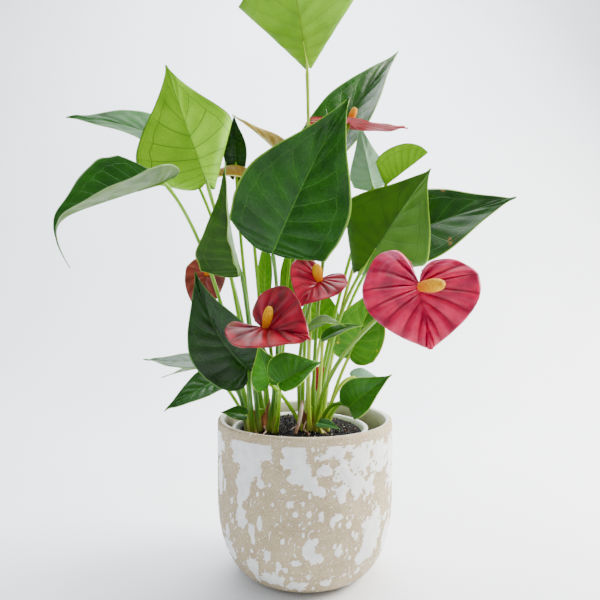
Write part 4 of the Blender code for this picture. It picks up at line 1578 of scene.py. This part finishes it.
@dataclass(frozen=True)
class CoverPot:
    """The cover pot: thrown stoneware with a round bottom, left bare outside under splashes of glaze.

    The bare clay is dry, sandy and speckled with iron. The glaze is an off-white matt-to-satin one,
    thick enough to stand above the clay, ragged at its edges and pinholed where it lies thin.
    """

    radius: float
    top: float
    wall: float = 5.0
    foot_radius: float = 42.0
    foot: float = 1.6
    shoulder: float = 62.0
    floor: float = 7.0

    SEGMENTS = 400
    GLAZE_DEPTH = 0.35
    LIP = 7.0  # height of the bare band under the rim
    BEND_STEPS = 48
    WALL_STEPS = 56
    RIM_STEPS = 10
    RIM_HEIGHT = 1.6  # of the rounded top edge
    SEED = 11
    SPLASHES = (
        Splash(-41, 110, 12, 10), Splash(-27, 113, 9, 7), Splash(-36, 100, 10, 9),
        Splash(-40, 87, 7, 12), Splash(-43, 75, 3, 8), Splash(-42, 61, 6, 8, -20),
        Splash(-34, 54, 3, 5), Splash(-28, 60, 2.2, 6, -35), Splash(-7, 110, 9, 11),
        Splash(-3, 99, 8, 8), Splash(3, 91, 5.5, 5, -20), Splash(9, 86, 3.2, 4, -30),
        Splash(18, 113, 11, 7, 0, 3.0), Splash(34, 108, 12, 10, 0, 2.8),
        Splash(52, 104, 12, 12, 0, 2.6), Splash(24, 96, 8, 9, 20, 2.6),
        Splash(32, 88, 9, 8, 0, 2.4), Splash(42, 84, 5, 9, 0, 2.4), Splash(22, 82, 4, 6, 15, 2.0),
        Splash(70, 96, 9, 20, 0, 2.8), Splash(12, 100, 5, 6, 0, 3.0),
        Splash(45, 48, 10, 17, 6, 1.3), Splash(38, 32, 7, 8, 0, 1.6), Splash(66, 40, 8, 15, 0, 2.2),
        Splash(2, 44, 4.5, 8, 20, 1.6), Splash(6, 37, 5, 5, 0, 1.8),
        Splash(-5, 34, 6, 2.6, 30, 1.8), Splash(-58, 45, 3, 6, -20), Splash(-24, 37, 2.8, 4.5),
        Splash(-33, 47, 2, 4), Splash(-17, 30, 2.4, 4), Splash(-37, 24, 6, 8, -30, 1.4),
        Splash(-24, 17, 10, 5, -22, 1.6), Splash(-6, 13, 10, 4, -8, 1.6),
        Splash(14, 15, 5, 3, 20, 1.8), Splash(-13, 86, 2, 2), Splash(-9, 77, 2.6, 2.4),
        Splash(2, 70, 2, 2.4), Splash(9, 68, 2, 3.4), Splash(26, 60, 2.6, 2.6),
        Splash(-62, 108, 3, 4), Splash(-60, 80, 2.4, 5), Splash(18, 66, 4, 3, 0, 2.6),
        Splash(-27, 89, 3, 4), Splash(20, 40, 3, 4, 0, 2.4), Splash(84, 60, 9, 14, 0, 1.8),
        Splash(104, 102, 17, 15, 0, 1.4), Splash(122, 84, 12, 20, 8, 1.4),
        Splash(140, 50, 13, 15, 0, 1.6), Splash(160, 106, 15, 13, 0, 1.4),
        Splash(176, 88, 11, 18, -10, 1.6), Splash(192, 44, 12, 13, 14, 1.6),
        Splash(208, 108, 14, 10, 0, 1.6), Splash(222, 84, 10, 17, 6, 1.4),
        Splash(238, 40, 10, 12, 0, 1.6), Splash(252, 100, 15, 17, 0, 1.6),
        Splash(268, 62, 8, 14, -10, 1.6), Splash(286, 108, 12, 10, 0, 1.6),
        Splash(292, 84, 6, 16, 8, 1.4), Splash(300, 30, 10, 8, 0, 1.6),
        Splash(170, 22, 15, 6, 0, 1.8), Splash(110, 24, 13, 6, 0, 1.8),
        Splash(80, 22, 12, 6, 0, 1.8), Splash(215, 20, 14, 5, 0, 1.8),
        Splash(262, 20, 14, 6, 0, 1.8),
    )
    DROPS = 800

    def build(self) -> None:
        """Build the pot and mark where its glaze lies."""
        shape = turned(self.profile(), self.SEGMENTS)
        glaze = shape.verts.layers.float.new("glaze")
        inside = shape.verts.layers.float.new("inside")
        drops = self.drops()
        for vert in shape.verts:
            x, y, z = vert.co / MM
            out = hypot(x, y)
            if z > self.foot + 0.3 and out < self.outer_radius(z) - self.wall * 0.5:
                vert[inside] = 1.0
                continue
            bearing = atan2(x, -y)
            cover = self.cover(bearing, z, drops)
            vert[glaze] = cover
            if z > self.foot + 1 and out > 1:
                lift = self.GLAZE_DEPTH * min(1.0, max(0.0, (cover - 0.42) * 5))
                grit = 0.07 * noise.noise(Vector((x, y, z)) * 0.8)
                vert.co += Vector((x, y, 0)).normalized() * (lift + grit) * MM
        add_piece("stoneware_pot", shape, [stoneware_look()], ["ceramic_pot"])

    def profile(self) -> list[tuple[float, float]]:
        """Give the profile from the middle of the foot, up the outside, over the rim and down.

        Returns:
            Radius and height pairs.
        """
        rise = self.shoulder - self.foot
        outer = []
        for step in range(self.BEND_STEPS + 1):
            angle = pi / 2 * step / self.BEND_STEPS
            reach = self.foot_radius + (self.radius - self.foot_radius) * sin(angle)
            outer.append((reach, self.foot + rise * (1 - cos(angle))))
        wall_top = self.top - self.RIM_HEIGHT
        course = (wall_top - self.shoulder) / self.WALL_STEPS
        upright = [(self.radius, self.shoulder + course * i) for i in range(1, self.WALL_STEPS + 1)]
        middle, bend = self.radius - self.wall / 2, self.wall / 2
        turns = [pi * i / self.RIM_STEPS for i in range(1, self.RIM_STEPS)]
        rim = [(middle + bend * cos(turn), wall_top + self.RIM_HEIGHT * sin(turn)) for turn in turns]
        inner = []
        for radius, height in reversed(outer[::3] + upright[::4] + [upright[-1]]):
            lift = max(0.0, (self.floor - self.foot) * (self.shoulder - height) / rise)
            inner.append((radius - self.wall, height + lift))
        return [(0.0, self.foot)] + outer + upright + rim + inner + [(0.0, self.floor)]

    def outer_radius(self, z: float) -> float:
        """Give the outside's radius at a height.

        Args:
            z: The height.

        Returns:
            The radius.
        """
        if z >= self.shoulder:
            return self.radius
        level = max(-1.0, min(1.0, 1 - (z - self.foot) / (self.shoulder - self.foot)))
        return self.foot_radius + (self.radius - self.foot_radius) * sqrt(max(0.0, 1 - level**2))

    def drops(self) -> list[Splash]:
        """Give the many small drops of glaze, scattered by chance.

        Returns:
            The drops.
        """
        random = Random(self.SEED)
        made = []
        for _ in range(self.DROPS):
            size = 0.45 + 1.9 * random.random() ** 3
            made.append(Splash(
                bearing=random.uniform(-180, 180), height=random.uniform(6, self.top - self.LIP),
                half_width=size * random.uniform(0.7, 1.1), half_height=size * random.uniform(0.9, 1.8),
                lean=random.uniform(-30, 30), ragged=0.5))
        return made

    def cover(self, bearing: float, z: float, drops: list[Splash]) -> float:
        """Give how surely glaze lies at a place.

        Args:
            bearing: Radians round from the front.
            z: The height.
            drops: The small drops.

        Returns:
            From 0 to 1; above a half, glaze lies there.
        """
        girth = bearing * self.radius
        place = Vector((sin(bearing) * self.radius, cos(bearing) * self.radius, z))
        coarse = noise.noise(place / 5.5) + 0.55 * noise.noise(place / 2.1)
        fine = noise.noise(place / 1.1)
        best = -1.0
        for splash in (*self.SPLASHES, *drops):
            up = (z - splash.height) / splash.half_height
            if abs(up) > 1.6:
                continue
            turn = (bearing - radians(splash.bearing) + pi) % (2 * pi) - pi
            across = turn * self.radius / splash.half_width
            if abs(across) > 1.8:
                continue
            lean = radians(splash.lean)
            a = across * cos(lean) + up * sin(lean)
            b = up * cos(lean) - across * sin(lean)
            wobble = (coarse * 0.34 + fine * 0.12) * splash.ragged
            square = 4 if splash.half_width > 7 else 2
            far = (abs(a) ** square + abs(b) ** square) ** (1 / square)
            best = max(best, 1 - far + wobble * min(1.0, splash.half_width / 5))
        if z > self.top - self.LIP:
            best -= (z - self.top + self.LIP) * 0.9 + 0.2 * coarse
        specks = 0.42 - noise.noise(Vector((girth * 0.7, z * 0.7, 8.0))) * 0.9
        if specks < 0.1:
            best = max(best, 0.1)
        return max(0.0, min(1.0, 0.5 + best * 2.2))


def stoneware_look() -> Material:
    """Stoneware: dry sandy clay with iron specks, and satin off-white glaze where it was splashed.

    Returns:
        The material.
    """
    dye = Dye("glazed_stoneware")
    place = dye.place_mm()
    sand = dye.grain(place, 0.7, 3.0, 0.7)
    clay = dye.mix(dye.step(dye.grain(place, 16.0, 3.0), 0.3, 0.7), "#b5a27e", "#a08c68")
    clay = dye.mix(dye.step(sand, 0.35, 0.7, 0.0, 0.6), clay, "#c9bda2")
    dark = dye.step(dye.cells(place, 1.5), 0.24, 0.12)
    rust = dye.step(dye.cells(place, 4.7), 0.12, 0.07)
    clay = dye.mix(dye.sum("MULTIPLY", dark, 0.6), clay, "#6f5f44")
    clay = dye.mix(dye.sum("MULTIPLY", rust, 0.7), clay, "#6a3c1e")
    pale = dye.step(dye.cells(place, 2.3), 0.22, 0.14)
    clay = dye.mix(dye.sum("MULTIPLY", pale, 0.5), clay, "#dcd6c6")

    glaze = dye.mix(dye.step(dye.grain(place, 7.0, 4.0), 0.35, 0.7), "#e9e9e6", "#d9dad8")
    pinholes = dye.step(dye.cells(place, 1.9), 0.15, 0.08)
    glaze = dye.mix(dye.sum("MULTIPLY", pinholes, 0.35), glaze, "#b4a88c")
    cover = dye.attribute("glaze")
    fray = dye.sum("SUBTRACT", dye.grain(place, 1.3, 3.0), 0.5)
    ragged = dye.sum("ADD", cover, dye.sum("MULTIPLY", fray, 0.4))
    mask = dye.step(ragged, 0.47, 0.55)
    rim = dye.sum("MULTIPLY", dye.step(ragged, 0.66, 0.52), mask)
    glaze = dye.mix(dye.sum("MULTIPLY", rim, 0.45), glaze, "#c3bba6")
    outside = dye.mix(mask, clay, glaze)

    height = add_node(dye.tree, "SeparateXYZ", {0: place}).outputs["Z"]
    # Painted shade: the off-white inner glaze is painted a darker mottled taupe low in the pot, where shade
    # falls, and returns to its own pale colour between 112 and 124 mm up.
    lining_with_painted_shade = dye.mix(dye.step(dye.grain(place, 12.0, 4.0), 0.35, 0.65), "#a8a48c", "#827c64")
    lining_with_painted_shade = dye.mix(dye.step(height, 112.0, 124.0), lining_with_painted_shade, "#d2cfc2")
    inside = dye.attribute("inside")
    colour = dye.mix(inside, outside, lining_with_painted_shade)
    glazed = dye.sum("MAXIMUM", mask, inside)
    dry = dye.sum("ADD", 0.82, dye.sum("MULTIPLY", sand, 0.1))
    rough = dye.sum("SUBTRACT", dry, dye.sum("MULTIPLY", glazed, 0.5))
    grit = dye.sum("MULTIPLY", sand, dye.sum("SUBTRACT", 1.0, dye.sum("MULTIPLY", glazed, 0.85)))
    dye.bump(dye.sum("ADD", grit, dye.sum("MULTIPLY", mask, 1.2)), 0.25, 0.8)
    return dye.finish(colour, rough, ior=1.5)


@dataclass(frozen=True)
class NurseryPot:
    """The thin moulded pot that the plant grows in, with a lip turned out at its rim."""

    centre_x: float
    radius: float
    top: float
    base: float = 13.0
    base_radius: float = 33.0
    wall: float = 1.2
    lip: float = 2.0

    def build(self) -> None:
        """Build the pot."""
        side = self.radius - self.lip
        under = self.top - self.lip * 2
        turns = [pi * i / 6 for i in range(7)]
        bead = [
            (self.radius - 0.5 + 0.5 * sin(turn), self.top - 0.5 + 0.5 * cos(turn)) for turn in turns[::-1]]
        steps = [i / 20 for i in range(21)]
        foot = Vector((self.base_radius, self.base))
        outer = [tuple(foot.lerp(Vector((side, under)), step)) for step in steps]
        inner = [(r - self.wall, z + self.wall) for r, z in outer]
        rim = [(self.radius - 0.3, under), *bead, (side - self.wall, self.top)]
        profile = [(0.0, self.base)] + outer + rim + inner[::-1] + [(0.0, self.base + self.wall)]
        shape = turned(profile, 160, self.centre_x)
        add_piece("moulded_nursery_pot", shape, [NURSERY_PLASTIC.look()], ["nursery_pot"])


def node_size(node: str) -> tuple[Vector, Vector]:
    """Give a CAD node's lowest and highest corners in millimetres.

    Args:
        node: The node's name.

    Returns:
        The two corners.
    """
    low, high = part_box(node)
    return Vector(low) / MM, Vector(high) / MM


def build_pads() -> None:
    """Build the three clear pads under the cover pot, each a little domed at its edge."""
    for node in ("pad_front", "pad_right", "pad_left"):
        low, high = node_size(node)
        middle = (low + high) / 2
        radius, top = (high.x - low.x) / 2, high.z + 0.3
        turns = [pi * i / 8 for i in range(9)]
        rim = [(radius - 0.6 + 0.6 * sin(turn), 0.6 - 0.6 * cos(turn)) for turn in turns]
        shape = turned([(0.0, 0.0), *rim, (radius * 0.9, top), (0.0, top)], 48, middle.x)
        bmesh.ops.translate(shape, verts=shape.verts, vec=(0, middle.y * MM, 0))
        add_piece(f"silicone_{node}", shape, [SILICONE.look()], [node])


# --- Studio -------------------------------------------------------------------------------------


@dataclass(frozen=True)
class Lamp:
    """A soft square light."""

    name: str
    place: Point
    size: float
    watts: float
    colour: str
    target: Point = (0.0, 0.0, 0.25)

    def build(self) -> None:
        """Hang the light and turn it to its target."""
        light = bpy.data.lights.new(self.name, "AREA")
        light.size = self.size
        light.energy = self.watts
        light.color = linear(self.colour)[:3]
        lamp = bpy.data.objects.new(self.name, light)
        lamp.location = self.place
        lamp.rotation_euler = (Vector(self.target) - Vector(self.place)).to_track_quat("-Z", "Y").to_euler()
        bpy.context.scene.collection.objects.link(lamp)


@dataclass(frozen=True)
class Studio:
    """A pale sweep of floor and wall, soft daylight from behind on the right, and the camera."""

    camera_place: Point = (-0.0039, -0.5, 0.235)
    camera_dip: float = 1.9  # degrees below level
    focal_length: float = 37.2
    sensor: float = 36.0

    LAMPS = (
        Lamp("window_right", (1.0, 0.15, 0.8), 0.7, 54.0, "#fffaf2"),
        Lamp("window_left", (-1.1, -0.2, 0.75), 0.8, 4.0, "#eaf2ff"),
        Lamp("overhead", (0.0, 0.2, 1.4), 1.0, 15.0, "#ffffff"),
        Lamp("wall_wash", (0.0, 0.75, 1.5), 1.4, 48.0, "#f4f9ff", (0.0, 1.3, 0.4)),
        Lamp("front_fill", (0.1, -1.5, 0.6), 0.8, 3.5, "#ffffff"),
    )

    def build(self) -> None:
        """Build the sweep, the lights, the sky and the camera."""
        shape = bmesh.new()
        bmesh.ops.create_grid(shape, x_segments=24, y_segments=48, size=2.4)
        for vert in shape.verts:
            back = max(0.0, vert.co.y - 0.5)
            vert.co.z = min(back**2 * 1.6, 2.6)
            vert.co.y = min(vert.co.y, 1.3)
        mesh = bpy.data.meshes.new("sweep")
        shape.to_mesh(mesh)
        shape.free()
        mesh.shade_smooth()
        dye = Dye("pale_backdrop_paper")
        tone = dye.mix(dye.step(dye.grain(dye.place(), 0.5), 0.3, 0.7), "#f3f5f8", "#eceff4")
        mesh.materials.append(dye.finish(tone, 0.9))
        sweep = bpy.data.objects.new("sweep", mesh)
        bpy.context.scene.collection.objects.link(sweep)

        for lamp in self.LAMPS:
            lamp.build()
        world = bpy.data.worlds.new("daylight")
        world.use_nodes = True
        sky = world.node_tree.nodes["Background"]
        sky.inputs["Color"].default_value = linear("#eef4ff")
        sky.inputs["Strength"].default_value = 0.40
        bpy.context.scene.world = world

        lens = bpy.data.cameras.new("camera")
        lens.lens = self.focal_length
        lens.sensor_width = self.sensor
        camera = bpy.data.objects.new("camera", lens)
        camera.location = self.camera_place
        camera.rotation_euler = (radians(90 - self.camera_dip), 0, 0)
        bpy.context.scene.collection.objects.link(camera)
        bpy.context.scene.camera = camera


# --- The whole ----------------------------------------------------------------------------------


def main() -> None:
    """Build every piece in order, from the pads up, and then the studio round it."""
    build_pads()
    low, high = node_size("ceramic_pot")
    CoverPot(radius=(high.x - low.x) / 2, top=high.z).build()
    low, high = node_size("nursery_pot")
    NurseryPot(centre_x=(low.x + high.x) / 2, radius=(high.x - low.x) / 2, top=high.z).build()
    low, high = node_size("potting_mix")
    PottingMix(
        centre_x=(low.x + high.x) / 2, radius=(high.x - low.x) / 2 + 0.4, top=high.z + 2.5,
        edge=high.z + 0.5, base=low.z, base_radius=31.0).build()
    for crown in CROWNS:
        crown.build(high.z)
    AERIAL_ROOT.build(ROOT_SKIN.look(), "root")
    for root in FINE_ROOTS:
        root.build(ROOT_SKIN.look(), "root")
    PETIOLE_STUB.build(FRESH_STALK.look(), "stem")
    CUT.build(CUT_END.look(), "stem")
    for index, leaf in enumerate(LEAVES):
        leaf.build(float(index))
    for index, flower in enumerate(FLOWERS):
        flower.build(index + 50.0)
    Studio().build()


if __name__ == "__main__":
    main()
